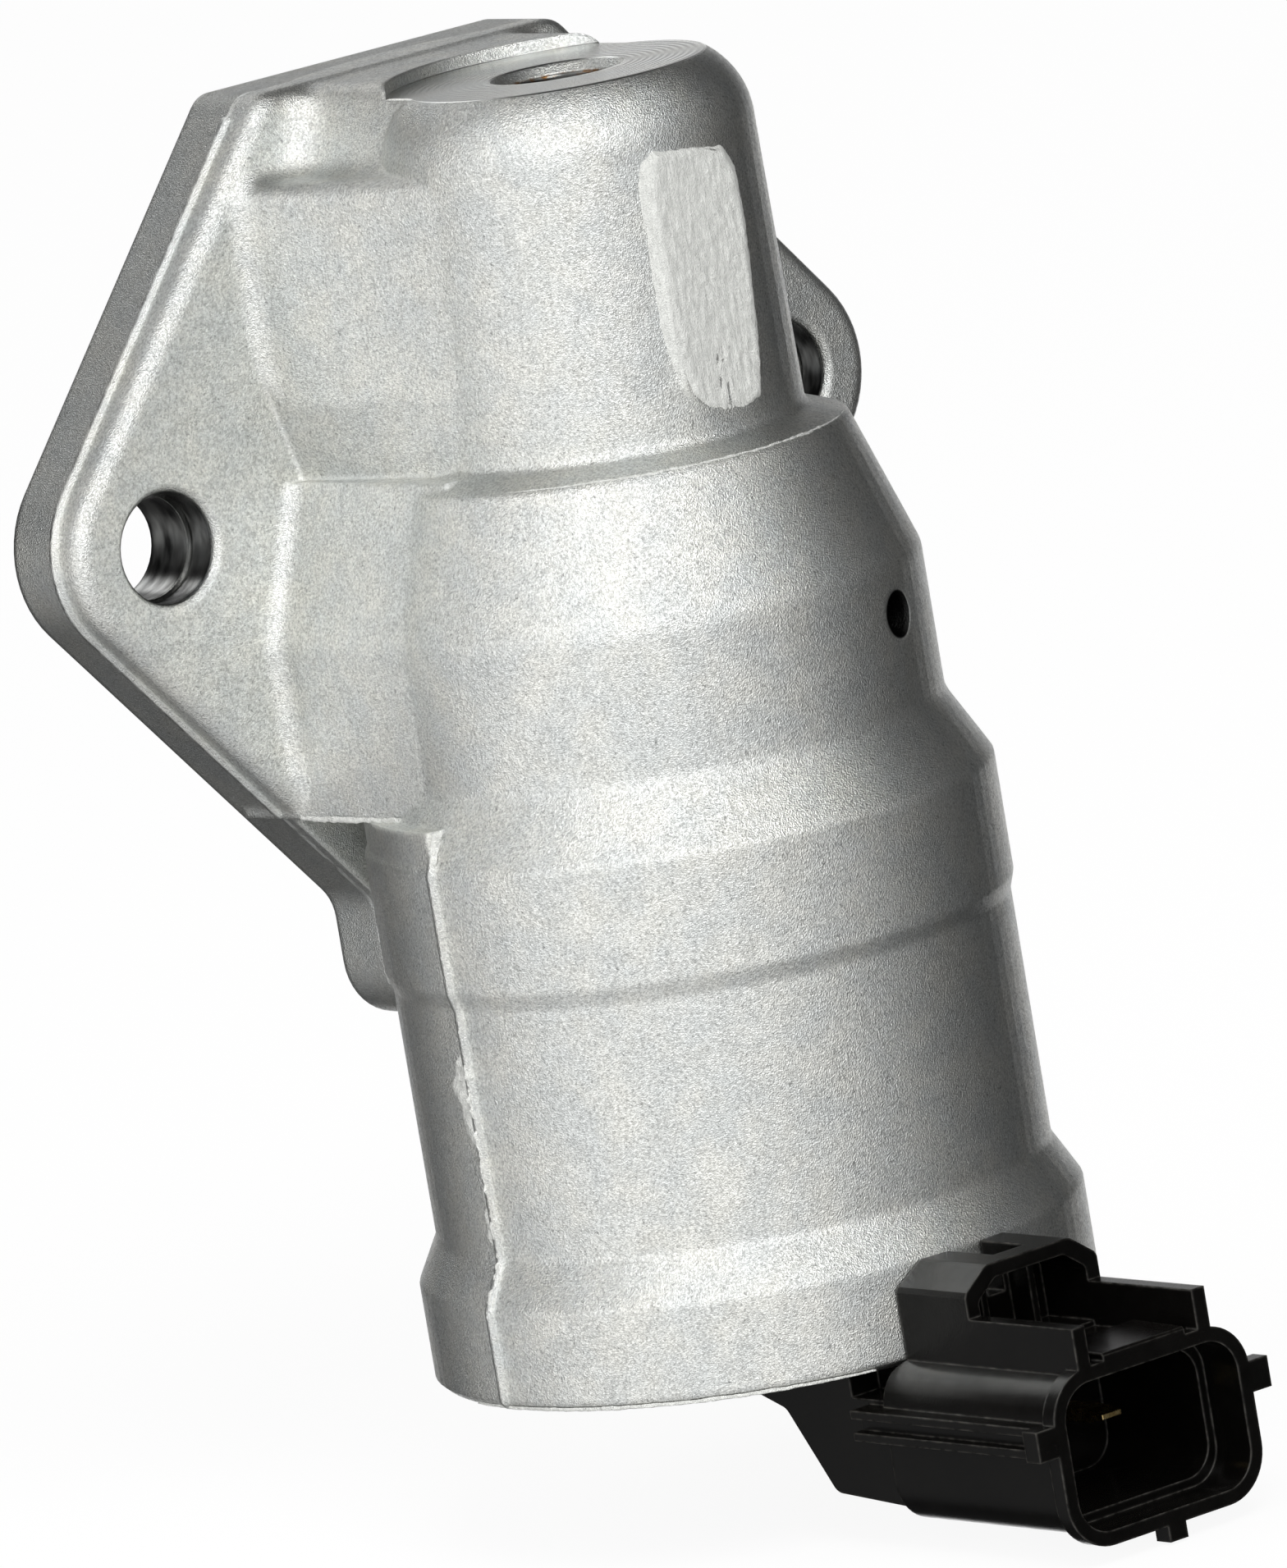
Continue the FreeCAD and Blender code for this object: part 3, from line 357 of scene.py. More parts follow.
def casting_masks(tree, place):
    """Coordinates and masks; tongue is the flange's lower end, behind its back half."""
    xyz = put(tree, "ShaderNodeSeparateXYZ", {0: place})
    x, y, z = xyz.outputs["X"], xyz.outputs["Y"], xyz.outputs["Z"]
    forward = math(tree, "SUBTRACT", y, AXIS_Y_MM)
    radius = length_of(tree, x, forward)
    disc = times(tree, near(tree, z, DISC_Z_MM, 0.04, 0.03),
                 spread(tree, radius, DISC_R_MM + 0.05, DISC_R_MM))
    off_bolt = math(tree, "SUBTRACT", math(tree, "ABSOLUTE", x), BOLT_X_MM)
    bolt = spread(tree, length_of(tree, off_bolt, z), BOLT_R_MM + 0.12, BOLT_R_MM + 0.02)
    bolt = times(tree, bolt, spread(tree, y, -6.5, -6.2))
    chamber = times(tree, spread(tree, radius, 10.2, 9.8), spread(tree, z, 19.4, 18.6))
    coil_room = times(tree, spread(tree, radius, 15.9, 15.5), spread(tree, z, -8.0, -9.0))
    inner = math(tree, "MAXIMUM", chamber, coil_room)
    adjuster = times(tree, spread(tree, radius, 3.6, 3.45), spread(tree, z, 24.1, 23.9))
    sideways = math(tree, "SUBTRACT", times(tree, x, cos(VENT_TURN)),
                    times(tree, forward, -sin(VENT_TURN)))
    vent = spread(tree, length_of(tree, sideways, math(tree, "SUBTRACT", z, VENT_Z_MM)),
                  VENT_R_MM + 0.12, VENT_R_MM + 0.02)
    vent = times(tree, vent, spread(tree, forward, 0.0, -1.0), near(tree, x, 7.0, 3.0, 0.5))
    hollow = math(tree, "MAXIMUM", inner, vent)
    behind = times(tree, spread(tree, y, -4.25, -4.1), spread(tree, radius, 18.2, 18.6))
    parting = times(tree, near(tree, y, PARTING_Y_MM, 0.16, 0.08), spread(tree, radius, 19.6, 19.9))
    tongue = times(tree, spread(tree, z, -18.3, -18.6), spread(tree, y, -7.4, -6.9),
                   spread(tree, y, -0.1, -0.3))
    return dict(x=x, y=y, z=z, radius=radius, disc=disc, bolt=bolt, hollow=hollow,
                adjuster=adjuster, behind=behind, parting=parting, tongue=tongue)


print("masks ready")


# %% Cast aluminium
COOL_METAL, WARM_METAL = (0.975, 1.0, 0.985, 1.0), (0.995, 0.995, 0.945, 1.0)
PAINT_STAIN = (0.20, 0.10, 0.035, 1.0)


def cast_aluminium():
    material, tree, shader = new_material("cast_aluminium")
    place = place_mm(tree)
    at = casting_masks(tree, place)
    edges = use_group(tree, edge_group, {"Radius": 0.0006})
    grain = use_group(tree, grain_group, {"Place": place, "Size": 0.17})
    # tone: grain, cloudy patches, sparse dark specks, rubbed edges, a few scratches
    patches = cloud(tree, place, 0.30, 3.0, 0.6)
    tone = spread(tree, grain.outputs["Tone"], 0.39, 0.61, 0.52, 0.94)
    tone = blend(tree, grain.outputs["Glints"], tone, 1.0)
    tone = times(tree, tone, spread(tree, patches, 0.3, 0.7, 0.93, 1.05))
    tone = blend(tree, times(tree, grain.outputs["Specks"], 0.75), tone, 0.22)
    tone = blend(tree, times(tree, edges.outputs["Edge"], 0.45), tone, 0.95)
    slanted = stretched(tree, place, (5.0, 5.0, 0.35))
    scratch = spread(tree, cloud(tree, slanted, 1.0, 2.0, 0.4), 0.735, 0.77)
    tone = blend(tree, times(tree, scratch, 0.5), tone, 0.95)
    # places
    # partly a duller skin, partly painted shade: behind the parting line the colour is darkened,
    # most towards the top
    duller_and_shaded = times(tree, at["behind"], spread(tree, at["z"], -26.0, -16.0, 0.1, 0.45))
    tone = blend(tree, duller_and_shaded, tone, 0.26)
    # painted shade: the tongue, in the crease under the barrel, is darkened
    tone = blend(tree, times(tree, at["tongue"], 0.36), tone, 0.22)
    chipped = spread(tree, cloud(tree, place, 0.9, 3.0), 0.40, 0.55)
    tone = blend(tree, times(tree, at["parting"], chipped), tone, 0.98)
    tone = blend(tree, at["disc"], tone, 0.74)
    # painted shade and painted highlight in the bolt bores: dark bands, and a bright painted glint
    # at the step
    banded = cloud(tree, stretched(tree, place, (0.4, 0.9, 0.4)), 1.0, 2.0)
    bore_shade_and_glint = spread(tree, banded, 0.35, 0.65, 0.03, 0.30)
    painted_step_glint = times(tree, near(tree, at["y"], BOLT_STEP_Y_MM, 0.05, 0.06), 0.7)
    bore_shade_and_glint = math(tree, "MAXIMUM", bore_shade_and_glint, painted_step_glint)
    tone = blend(tree, at["bolt"], tone, bore_shade_and_glint)
    # painted shade: the chamber, coil room and vent inside go almost black
    tone = blend(tree, at["hollow"], tone, 0.02)
    # painted shade: the tapped hole's colour is darkened
    tone = blend(tree, times(tree, at["adjuster"], 0.85), tone, 0.12)
    warmth = spread(tree, patches, 0.35, 0.65)
    warm = mix(tree, warmth, COOL_METAL, WARM_METAL)
    scaled = put(tree, "ShaderNodeVectorMath", {0: warm, "Scale": tone}, operation="SCALE")
    runs = cloud(tree, stretched(tree, place, (1.6, 1.6, 0.25)), 1.0, 3.0)
    stained = times(tree, at["adjuster"], spread(tree, runs, 0.46, 0.56))
    colour = mix(tree, stained, scaled.outputs[0], PAINT_STAIN)
    # roughness and relief
    rough = spread(tree, grain.outputs["Tone"], 0.35, 0.65, 0.44, 0.28)
    rough = blend(tree, at["disc"], rough, 0.22)
    rough = blend(tree, math(tree, "MAXIMUM", at["bolt"], at["adjuster"]), rough, 0.24)
    machined = math(tree, "MAXIMUM", at["disc"], math(tree, "MAXIMUM", at["bolt"], at["adjuster"]))
    skin = times(tree, grain.outputs["Height"], math(tree, "SUBTRACT", 1.0, machined))
    rings = math(tree, "SINE", math(tree, "MULTIPLY", at["radius"], 14.0))
    threads = math(tree, "SINE", math(tree, "MULTIPLY", at["z"], 9.0))
    turned = times(tree, rings, at["disc"], 0.12)
    tapped = times(tree, threads, at["adjuster"], 1.6)
    relief = math(tree, "ADD", skin, math(tree, "ADD", turned, tapped))
    normal = bump(tree, relief, edges.outputs["Normal"], 0.00006)
    feed(tree, shader, {"Base Color": colour, "Roughness": rough, "Normal": normal,
                        "Metallic": 1.0})
    return material


cast_metal = cast_aluminium()
print("cast aluminium:", len(cast_metal.node_tree.nodes), "nodes")


# %% [markdown]
# Where metal was torn, at the gate and along the flash, the blasted skin is missing: the surface
# is brighter, streaky and scaly.


# %% Torn aluminium
def torn_aluminium(name, streak, low, high, roughness, metallic):
    material, tree, shader = new_material(name)
    place = place_mm(tree)
    edges = use_group(tree, edge_group, {"Radius": 0.00008})
    grain = use_group(tree, grain_group, {"Place": place, "Size": 0.16})
    fibres = cloud(tree, stretched(tree, place, streak), 1.0, 4.0, 0.65)
    tone = spread(tree, blend(tree, 0.4, fibres, grain.outputs["Tone"]), 0.35, 0.65, low, high)
    tone = blend(tree, times(tree, grain.outputs["Specks"], 0.5), tone, low * 0.6)
    tone = blend(tree, times(tree, edges.outputs["Edge"], 0.4), tone, 0.98)
    rough = spread(tree, fibres, 0.3, 0.7, roughness * 1.25, roughness * 0.8)
    height = blend(tree, 0.4, fibres, grain.outputs["Height"])
    normal = bump(tree, height, edges.outputs["Normal"], 0.00022)
    feed(tree, shader, {"Base Color": tinted(tree, tone, 0.99, 1.0, 0.96), "Roughness": rough,
                        "Normal": normal, "Metallic": metallic})
    return material


torn_gate = torn_aluminium("torn_gate", (5.0, 5.0, 1.0), 0.70, 1.0, 0.40, 0.12)
torn_flash = torn_aluminium("torn_flash", (2.0, 2.0, 1.4), 0.66, 1.0, 0.36, 0.4)
print("torn metal ready")

# %% [markdown]
# ## The black plastic
# The end cap is moulded in glossy black thermoplastic. What makes it read as plastic is not its
# colour but its edges: each one is slightly round and draws a thin bright line, and its colour is
# lightened there with a painted highlight. A faint flow texture keeps the wide faces from looking
# like glass, a clear coat gives a painted sheen to the shoulders that face up and to the left, and
# a little dust lies on top.


# %% Moulded plastic
DUST_COLOUR = (0.50, 0.45, 0.38, 1.0)
SHOULDER = (-0.5, 0.0, 0.866)


def moulded_plastic(name, level, roughness, dust_amount, specular):
    material, tree, shader = new_material(name)
    place = place_mm(tree)
    edges = use_group(tree, edge_group, {"Radius": 0.00026})
    dust = use_group(tree, dust_group, {"Place": place, "Amount": dust_amount})
    flow = cloud(tree, place, 0.9, 4.0, 0.6)
    fine = cloud(tree, place, 7.0, 3.0)
    shade = spread(tree, flow, 0.3, 0.7, level * 0.7, level * 1.3)
    # painted highlight, with some edge wear: the colour is lightened along the edges
    edge_wear_and_sheen = spread(tree, cloud(tree, place, 1.6, 3.0), 0.35, 0.65, 0.03, 0.22)
    shade = blend(tree, times(tree, edges.outputs["Edge"], edge_wear_and_sheen), shade, 0.35)
    base = tinted(tree, shade, 1.0, 0.95, 0.86)
    colour = mix(tree, times(tree, dust.outputs["Mask"], 0.10), base, DUST_COLOUR)
    rough = spread(tree, flow, 0.3, 0.7, roughness * 0.8, roughness * 1.2)
    dusty = blend(tree, dust.outputs["Mask"], rough, 0.50)
    height = blend(tree, 0.3, fine, flow)
    normal = bump(tree, height, edges.outputs["Normal"], 0.000012)
    # painted sheen: a clear coat only on the shoulders that face up and to the left, where the
    # highlight falls
    facing = tree.nodes.new("ShaderNodeNewGeometry").outputs["Normal"]
    shoulder = put(tree, "ShaderNodeVectorMath", {0: facing, 1: SHOULDER}, operation="DOT_PRODUCT")
    placed_sheen = times(tree, spread(tree, shoulder.outputs["Value"], 0.80, 0.97),
                   spread(tree, flow, 0.3, 0.7, 0.75, 1.0))
    feed(tree, shader, {"Base Color": colour, "Roughness": dusty, "Normal": normal,
                        "Coat Weight": placed_sheen})
    shader.inputs["Specular IOR Level"].default_value = specular
    shader.inputs["Coat Roughness"].default_value = 0.22
    return material


cap_plastic = moulded_plastic("cap_plastic", 0.0025, 0.20, 0.20, 0.12)
bobbin_plastic = moulded_plastic("bobbin_plastic", 0.03, 0.45, 0.1, 0.5)
print("plastics ready")

# %% [markdown]
# ## Metals inside
# Most inner pieces are turned, drawn or wound. One recipe serves them all: a metal whose fine
# lines run around the valve axis, with its own colour, roughness and line spacing.


# %% Turned metal
def turned_metal(name, colour_low, colour_high, roughness, lines_per_mm, line_depth):
    material, tree, shader = new_material(name)
    place = place_mm(tree)
    edges = use_group(tree, edge_group, {"Radius": 0.00012})
    lines = put(tree, "ShaderNodeTexWave", {"Vector": place, "Scale": lines_per_mm * 0.32,
                                            "Distortion": 1.2, "Detail": 2.0, "Detail Scale": 2.0},
                wave_type="BANDS", bands_direction="Z", wave_profile="SIN")
    spots = cloud(tree, place, 1.4, 4.0)
    tint = mix(tree, spread(tree, spots, 0.35, 0.65), colour_low, colour_high)
    edge_wear_and_sheen = mix(tree, times(tree, edges.outputs["Edge"], 0.5), tint, colour_high)
    rough = spread(tree, spots, 0.3, 0.7, roughness * 0.8, roughness * 1.2)
    normal = bump(tree, lines.outputs["Fac"], edges.outputs["Normal"], line_depth)
    feed(tree, shader, {"Base Color": edge_wear_and_sheen, "Roughness": rough, "Normal": normal, "Metallic": 1.0})
    return material


bright_steel = turned_metal("bright_steel", grey(0.50), grey(0.66), 0.22, 4, 0.000004)
spring_steel = turned_metal("spring_steel", grey(0.30), grey(0.48), 0.30, 6, 0.000003)
turned_alloy = turned_metal("turned_alloy", grey(0.58), grey(0.78), 0.30, 3, 0.000006)
plated_iron = turned_metal(
    "plated_iron", (0.48, 0.46, 0.40, 1), (0.66, 0.64, 0.56, 1), 0.30, 2, 0.000005)
sleeve_brass = turned_metal(
    "sleeve_brass", (0.62, 0.42, 0.16, 1), (0.80, 0.60, 0.28, 1), 0.24, 5, 0.000003)
bush_bronze = turned_metal(
    "bush_bronze", (0.35, 0.21, 0.09, 1), (0.50, 0.33, 0.16, 1), 0.50, 2, 0.000006)
pin_brass = turned_metal(
    "pin_brass", (0.72, 0.50, 0.18, 1), (0.95, 0.76, 0.38, 1), 0.26, 3, 0.000004)
copper_wire = turned_metal(
    "copper_wire", (0.45, 0.15, 0.06, 1), (0.72, 0.30, 0.13, 1), 0.30, 3, 0.00006)
print("turned metals ready")

# %% [markdown]
# ## Rubber, tape and locking paint
# Three soft finishes: a dull black seal, amber film over the winding, and the brown paint that
# locks the adjusting screw, cracked and dusty after curing.


# %% Soft finishes
def soft_finish(name, low, high, roughness, size_mm, depth):
    material, tree, shader = new_material(name)
    place = place_mm(tree)
    grain = use_group(tree, grain_group, {"Place": place, "Size": size_mm})
    dust = use_group(tree, dust_group, {"Place": place, "Amount": 0.3})
    tint = mix(tree, spread(tree, grain.outputs["Tone"], 0.3, 0.7), low, high)
    colour = mix(tree, times(tree, dust.outputs["Mask"], 0.3), tint, (0.5, 0.47, 0.42, 1))
    rough = spread(tree, grain.outputs["Tone"], 0.3, 0.7, roughness * 0.8, roughness * 1.2)
    normal = bump(tree, grain.outputs["Height"], None, depth)
    feed(tree, shader, {"Base Color": colour, "Roughness": rough, "Normal": normal})
    return material


seal_rubber = soft_finish("seal_rubber", grey(0.008), grey(0.02), 0.6, 0.3, 0.000015)
amber_tape = soft_finish(
    "amber_tape", (0.35, 0.19, 0.03, 1), (0.55, 0.33, 0.07, 1), 0.25, 1.6, 0.00002)
locking_paint = soft_finish(
    "locking_paint", (0.05, 0.022, 0.008, 1), (0.20, 0.10, 0.04, 1), 0.5, 0.5, 0.00012)
print("soft finishes ready")

# %% Dress the nodes
FINISH = {
    "valve_body": cast_metal, "locking_compound": locking_paint, "adjusting_screw": sleeve_brass,
    "balance_spring": spring_steel, "spring_cup": sleeve_brass, "valve_shaft": bright_steel,
    "valve_seat": pin_brass, "valve_head": turned_alloy, "head_clip": spring_steel,
    "return_spring": spring_steel, "shaft_guide": turned_alloy, "upper_bush": bush_bronze,
    "pole_plate": plated_iron, "plunger": plated_iron, "guide_sleeve": sleeve_brass,
    "coil_bobbin": bobbin_plastic, "coil_winding": copper_wire, "coil_tape": amber_tape,
    "stop_shim": sleeve_brass, "fixed_core": plated_iron, "lower_bush": bush_bronze,
    "yoke_shell": plated_iron, "spring_washer": spring_steel, "cap_seal": seal_rubber,
    "terminal_left": pin_brass, "terminal_right": pin_brass, "end_cap": cap_plastic,
}
for name, finish in FINISH.items():
    node = nodes[name]
    node.data.materials.clear()
    node.data.materials.append(finish)
print("dressed", len(FINISH), "of", len(nodes))

# %% [markdown]
# ## The springs
# The two springs sit between the housing and the sliding valve. A rigid spring would cut into the
# valve head as the valve opens; each is drawn once more as a copy that stands for the CAD spring,
# which is hidden.


# %% Springs
def flexing_spring(node_name, piece_name, fixed_at_top):
    """Copy of a CAD spring that stands for it; the CAD spring is hidden."""
    coil = bpy.data.objects.new(piece_name, nodes[node_name].data.copy())
    bpy.context.scene.collection.objects.link(coil)
    low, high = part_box(node_name)
    middle = (low + high) / 2
    ends = [(middle.x, middle.y, low.z), (middle.x, middle.y, high.z)]
    if fixed_at_top:
        ends.reverse()
    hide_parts(node_name)
    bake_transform(coil)
    return coil


return_coil = flexing_spring("return_spring", "return_coil", False)
balance_coil = flexing_spring("balance_spring", "balance_coil", True)
print("coils:", len(return_coil.data.polygons), len(balance_coil.data.polygons), "faces")

# %% [markdown]
# ## Torn metal
# Two things on a die casting can't be drawn with lines and arcs. Flash is the thin fin squeezed
# out between the mould halves, later knocked off: a ragged ridge that swells, thins and wanders.
# The gate is where the metal flowed in: it was snapped off and left a scaly, streaked patch.


# %% Mesh helper
def add_piece(name, points_mm, faces, finish):
    """Object from points in millimetres; it rides on the housing and takes the given finish."""
    mesh = bpy.data.meshes.new(name)
    mesh.from_pydata([tuple(v * MM for v in point) for point in points_mm], [], faces)
    mesh.materials.append(finish)
    for face in mesh.polygons:
        face.use_smooth = True
    piece = bpy.data.objects.new(name, mesh)
    bpy.context.scene.collection.objects.link(piece)
    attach(piece, "housing")
    return piece


def wobble(seed, at, size):
    """Smooth noise around zero, along a path."""
    return noise.noise(Vector((at / size, seed * 7.3, seed * 1.7)))


def grid_faces(columns, rows):
    """Faces of a grid whose points were listed row by row."""
    faces = []
    for j in range(rows):
        for i in range(columns):
            a = j * (columns + 1) + i
            faces.append((a, a + 1, a + 2 + columns, a + 1 + columns))
    return faces


FOOT_SINK_MM = 0.12
RIDGE_SECTION = ((-1.0, -1.0), (-0.62, 0.25), (-0.22, 0.95), (0.2, 1.0), (0.6, 0.35), (1.0, -1.0))


def ragged_strip(name, stations, seed, finish, step_mm=0.14):
    """Ridge through stations (place, outward, half width, height); its foot is sunk."""
    points, faces, travelled = [], [], 0.0
    count = len(RIDGE_SECTION)
    for first, second in zip(stations, stations[1:]):
        start, end = Vector(first[0]), Vector(second[0])
        along = end - start
        pieces = max(1, round(along.length / step_mm))
        for i in range(pieces + (second is stations[-1])):
            part = i / pieces
            out = Vector(first[1]).lerp(Vector(second[1]), part).normalized()
            across = along.normalized().cross(out)
            at = travelled + part * along.length
            half = first[2] + (second[2] - first[2]) * part
            high = first[3] + (second[3] - first[3]) * part
            half *= 1 + 0.55 * wobble(seed, at, 1.1) + 0.5 * wobble(seed + 1, at, 0.33)
            high *= 1 + 0.7 * wobble(seed + 2, at, 0.8) + 0.7 * wobble(seed + 3, at, 0.25)
            shift = half * (0.5 * wobble(seed + 4, at, 1.6) + 0.35 * wobble(seed + 5, at, 0.3))
            for u, lift in RIDGE_SECTION:
                side = u * half + shift + 0.12 * half * wobble(seed + 9 * u, at, 0.25)
                rise = -FOOT_SINK_MM if lift < 0 else lift * high
                points.append(start + along * part + across * side + out * rise)
        travelled += along.length
    for row in range(len(points) // count - 1):
        for k in range(count - 1):
            a = row * count + k
            faces.append((a, a + 1, a + 1 + count, a + count))
    last = len(points) - count
    faces.append(tuple(range(count - 1, -1, -1)))
    faces.append(tuple(range(last, last + count)))
    return add_piece(name, points, faces, finish)


print("mesh helpers ready")

# %% [markdown]
# The flash down each side of the barrel starts as a bright wedge under the block that joins the
# flange, swells where a flake stayed on, and ends at the crimped lip. Each station gives a height
# on the part, the radius there, and the ridge's half width and height.

# %% Barrel flash
BARREL_STATIONS = (
    (-18.5, 18.45, 0.42, 0.30), (-19.3, 18.80, 0.34, 0.28), (-20.6, 19.30, 0.20, 0.22),
    (-24.0, 19.35, 0.16, 0.20), (-28.2, 19.35, 0.20, 0.22), (-29.4, 19.00, 0.16, 0.24),
    (-32.0, 19.00, 0.24, 0.26), (-33.5, 19.00, 0.22, 0.34), (-38.0, 19.00, 0.18, 0.34),
    (-40.5, 19.00, 0.24, 0.30), (-42.8, 19.00, 0.36, 0.30), (-44.9, 19.00, 0.24, 0.34),
    (-46.0, 19.60, 0.30, 0.34), (-47.6, 20.45, 0.34, 0.24), (-49.5, 20.50, 0.14, 0.18),
    (-52.2, 20.50, 0.16, 0.18), (-53.6, 20.45, 0.14, 0.10),
)
for side, label in ((-1, "left"), (1, "right")):
    stations = []
    for z_mm, r_mm, half, high in BARREL_STATIONS:
        stations.append(((side * (r_mm - 0.02), AXIS_Y_MM, z_mm), (side, 0, 0), half, high))
    ragged_strip("barrel_flash_" + label, stations, 3 + side, torn_flash)
print("barrel flash done")


# %% [markdown]
# Beside the left ridge two flakes of flash lie flat on the barrel.


# %% Flakes beside the flash
BARREL_R_MM = 19.0
FLAKE_TURN = -90.0


def flake(name, low_z, high_z, widths, seed, finish):
    """Thin scale on the barrel; widths gives its reach in mm behind the ridge at even heights."""
    rows, columns = 40, 8
    points = []
    for j in range(rows + 1):
        part = j / rows
        z_mm = low_z + (high_z - low_z) * part
        place = part * (len(widths) - 1)
        k = min(int(place), len(widths) - 2)
        width = widths[k] + (widths[k + 1] - widths[k]) * (place - k)
        width *= 1 + 0.5 * wobble(seed, z_mm, 0.9)
        for i in range(columns + 1):
            u = i / columns
            turn = radians(FLAKE_TURN) - u * width / BARREL_R_MM
            lump = noise.noise(Vector((u * width * 2.2, z_mm * 1.4, seed)))
            edge = min(1.0, u * 6, (1 - u) * 6, part * 12, (1 - part) * 12)
            r_mm = BARREL_R_MM - 0.03 + edge * (0.17 + 0.22 * lump)
            points.append((r_mm * sin(turn), AXIS_Y_MM - r_mm * cos(turn), z_mm))
    return add_piece(name, points, grid_faces(columns, rows), finish)


flake("flash_flake_upper", -38.0, -31.6, (0.3, 1.4, 1.1, 1.6, 1.9, 1.2, 0.4), 11, torn_flash)
flake("flash_flake_lower", -44.4, -41.2, (0.3, 1.0, 0.8, 0.3), 23, torn_flash)
print("flakes done")

# %% [markdown]
# A third fin follows the lower edge of the block between waist and flange, a fourth the foot of
# the boss, and a fine burr the crimped lip.

# %% Other flash
block_stations = []
for y_mm, half, high in ((-6.3, 0.16, 0.10), (-9.0, 0.22, 0.14), (-12.0, 0.16, 0.12),
                         (-15.0, 0.22, 0.16), (-18.0, 0.18, 0.14), (-20.9, 0.30, 0.22)):
    x_mm = -(16.75 + 1.2 * (y_mm - AXIS_Y_MM) / 19.8)
    block_stations.append(((x_mm + 0.02, y_mm, -18.37), (-0.7, 0, -0.7), half, high))
ragged_strip("block_flash", block_stations, 31, torn_flash)


def ring_strip(name, radius_mm, z_mm, turns, half, high, lean, seed, finish):
    """Ridge around the valve axis from one turn angle to another, leaning by its outward rise."""
    stations = []
    low, high_turn = turns
    count = int(abs(high_turn - low) // 4) + 2
    for i in range(count):
        turn = radians(low + (high_turn - low) * i / (count - 1))
        fade = min(1.0, 0.25 + 3 * min(i, count - 1 - i) / count)
        place = (radius_mm * sin(turn), AXIS_Y_MM - radius_mm * cos(turn), z_mm)
        out = (sin(turn) * cos(lean), -cos(turn) * cos(lean), sin(lean))
        stations.append((place, out, half * fade, high * fade))
    return ragged_strip(name, stations, seed, finish, 0.2)


ring_strip("boss_foot_flash", 13.75, 1.2, (-78, 55), 0.16, 0.12, radians(55), 41, torn_flash)
ring_strip("lip_burr", 20.42, -53.72, (-99, -20), 0.12, 0.06, radians(-45), 53, torn_flash)
print("other flash done")

# %% [markdown]
# The gate scar is drawn as a relief: a grid over the flat left by the gate, lifted by streaks and
# flakes inside the scar's outline and running out to nothing around it.

# %% Gate scar
GATE_FACE_Y_MM = -32.2
GATE_OUTLINE = ((-2.21, 19.58), (0.4, 19.45), (2.71, 18.77), (3.30, 17.4), (3.37, 14.36),
                (3.12, 9.9), (2.86, 5.91), (2.45, 3.98), (1.2, 3.42), (-0.23, 3.43), (-1.5, 4.1),
                (-2.43, 5.08), (-2.95, 7.0), (-3.13, 9.25), (-3.10, 12.0), (-3.03, 14.25),
                (-2.98, 17.6), (-2.75, 19.0))
GATE_BASE_MM, GATE_RIM_MM, OUTER_SLOPE = 0.04, 0.25, 1.1
CRACK_HALF_MM, LEVEL_CRACK_Z_MM, UPRIGHT_CRACK_X_MM = 0.10, 11.3, 2.0
BOSS_R_MM, EDGE_SINK_MM = 11.3, 0.35


def inside_by(u, v, outline):
    """Distance in mm to an outline, positive inside it."""
    nearest, inside = 1e9, False
    for (u0, v0), (u1, v1) in zip(outline, outline[1:] + outline[:1]):
        du, dv = u1 - u0, v1 - v0
        part = max(0.0, min(1.0, ((u - u0) * du + (v - v0) * dv) / (du * du + dv * dv)))
        nearest = min(nearest, hypot(u - u0 - part * du, v - v0 - part * dv))
        if (v0 > v) != (v1 > v) and u < u0 + (v - v0) * du / dv:
            inside = not inside
    return nearest if inside else -nearest


def gate_relief(x_mm, z_mm):
    """Depth Y of the torn surface at one place."""
    ragged = 0.07 * noise.noise(Vector((x_mm * 2.1, z_mm * 2.1, 3.0)))
    reach = inside_by(x_mm, z_mm, GATE_OUTLINE) + ragged
    if reach < 0:
        return GATE_FACE_Y_MM - GATE_BASE_MM - reach * OUTER_SLOPE
    rim = min(1.0, reach / GATE_RIM_MM)
    rim = rim * rim * (3 - 2 * rim)
    streak = noise.noise(Vector((x_mm * 3.6, z_mm * 0.8, 1.0)))
    scale = noise.noise(Vector((x_mm * 1.5, z_mm * 1.9, 9.0)))
    fine = noise.noise(Vector((x_mm * 6.0, z_mm * 3.0, 5.0)))
    waver = 0.5 * noise.noise(Vector((x_mm * 1.3, z_mm * 1.3, 17.0)))
    crack = 1 - abs(z_mm - LEVEL_CRACK_Z_MM - waver) / CRACK_HALF_MM if x_mm < 0.6 else 0.0
    if 12.0 < z_mm < 17.0:
        crack = max(crack, 1 - abs(x_mm - UPRIGHT_CRACK_X_MM - waver) / CRACK_HALF_MM)
    lift = 0.09 + 0.09 * streak + 0.05 * scale + 0.04 * fine - 0.10 * max(0.0, crack)
    return GATE_FACE_Y_MM - GATE_BASE_MM - rim * max(0.0, lift)


columns, rows = 60, 130
low_x, high_x, low_z, high_z = -3.75, 3.95, 2.85, 20.2
gate_points = []
for j in range(rows + 1):
    z_mm = low_z + (high_z - low_z) * j / rows
    for i in range(columns + 1):
        x_mm = low_x + (high_x - low_x) * i / columns
        sunk = AXIS_Y_MM - sqrt(BOSS_R_MM ** 2 - x_mm ** 2) + EDGE_SINK_MM
        gate_points.append((x_mm, min(gate_relief(x_mm, z_mm), sunk), z_mm))
add_piece("gate_scar", gate_points, grid_faces(columns, rows), torn_gate)
print("gate scar:", columns * rows, "faces")

# %% [markdown]
# ## Studio
# The part stands in white: a pale floor that only shows the shadow, a wide bright wall to the left,
# a dark one to the right that gives the metal its shape, and a strip of light behind it that draws
# the thin bright line on its far flank. The world paints these walls by compass direction, so even
# rough metal finds something to mirror. Mirror rays look through the floor at them.


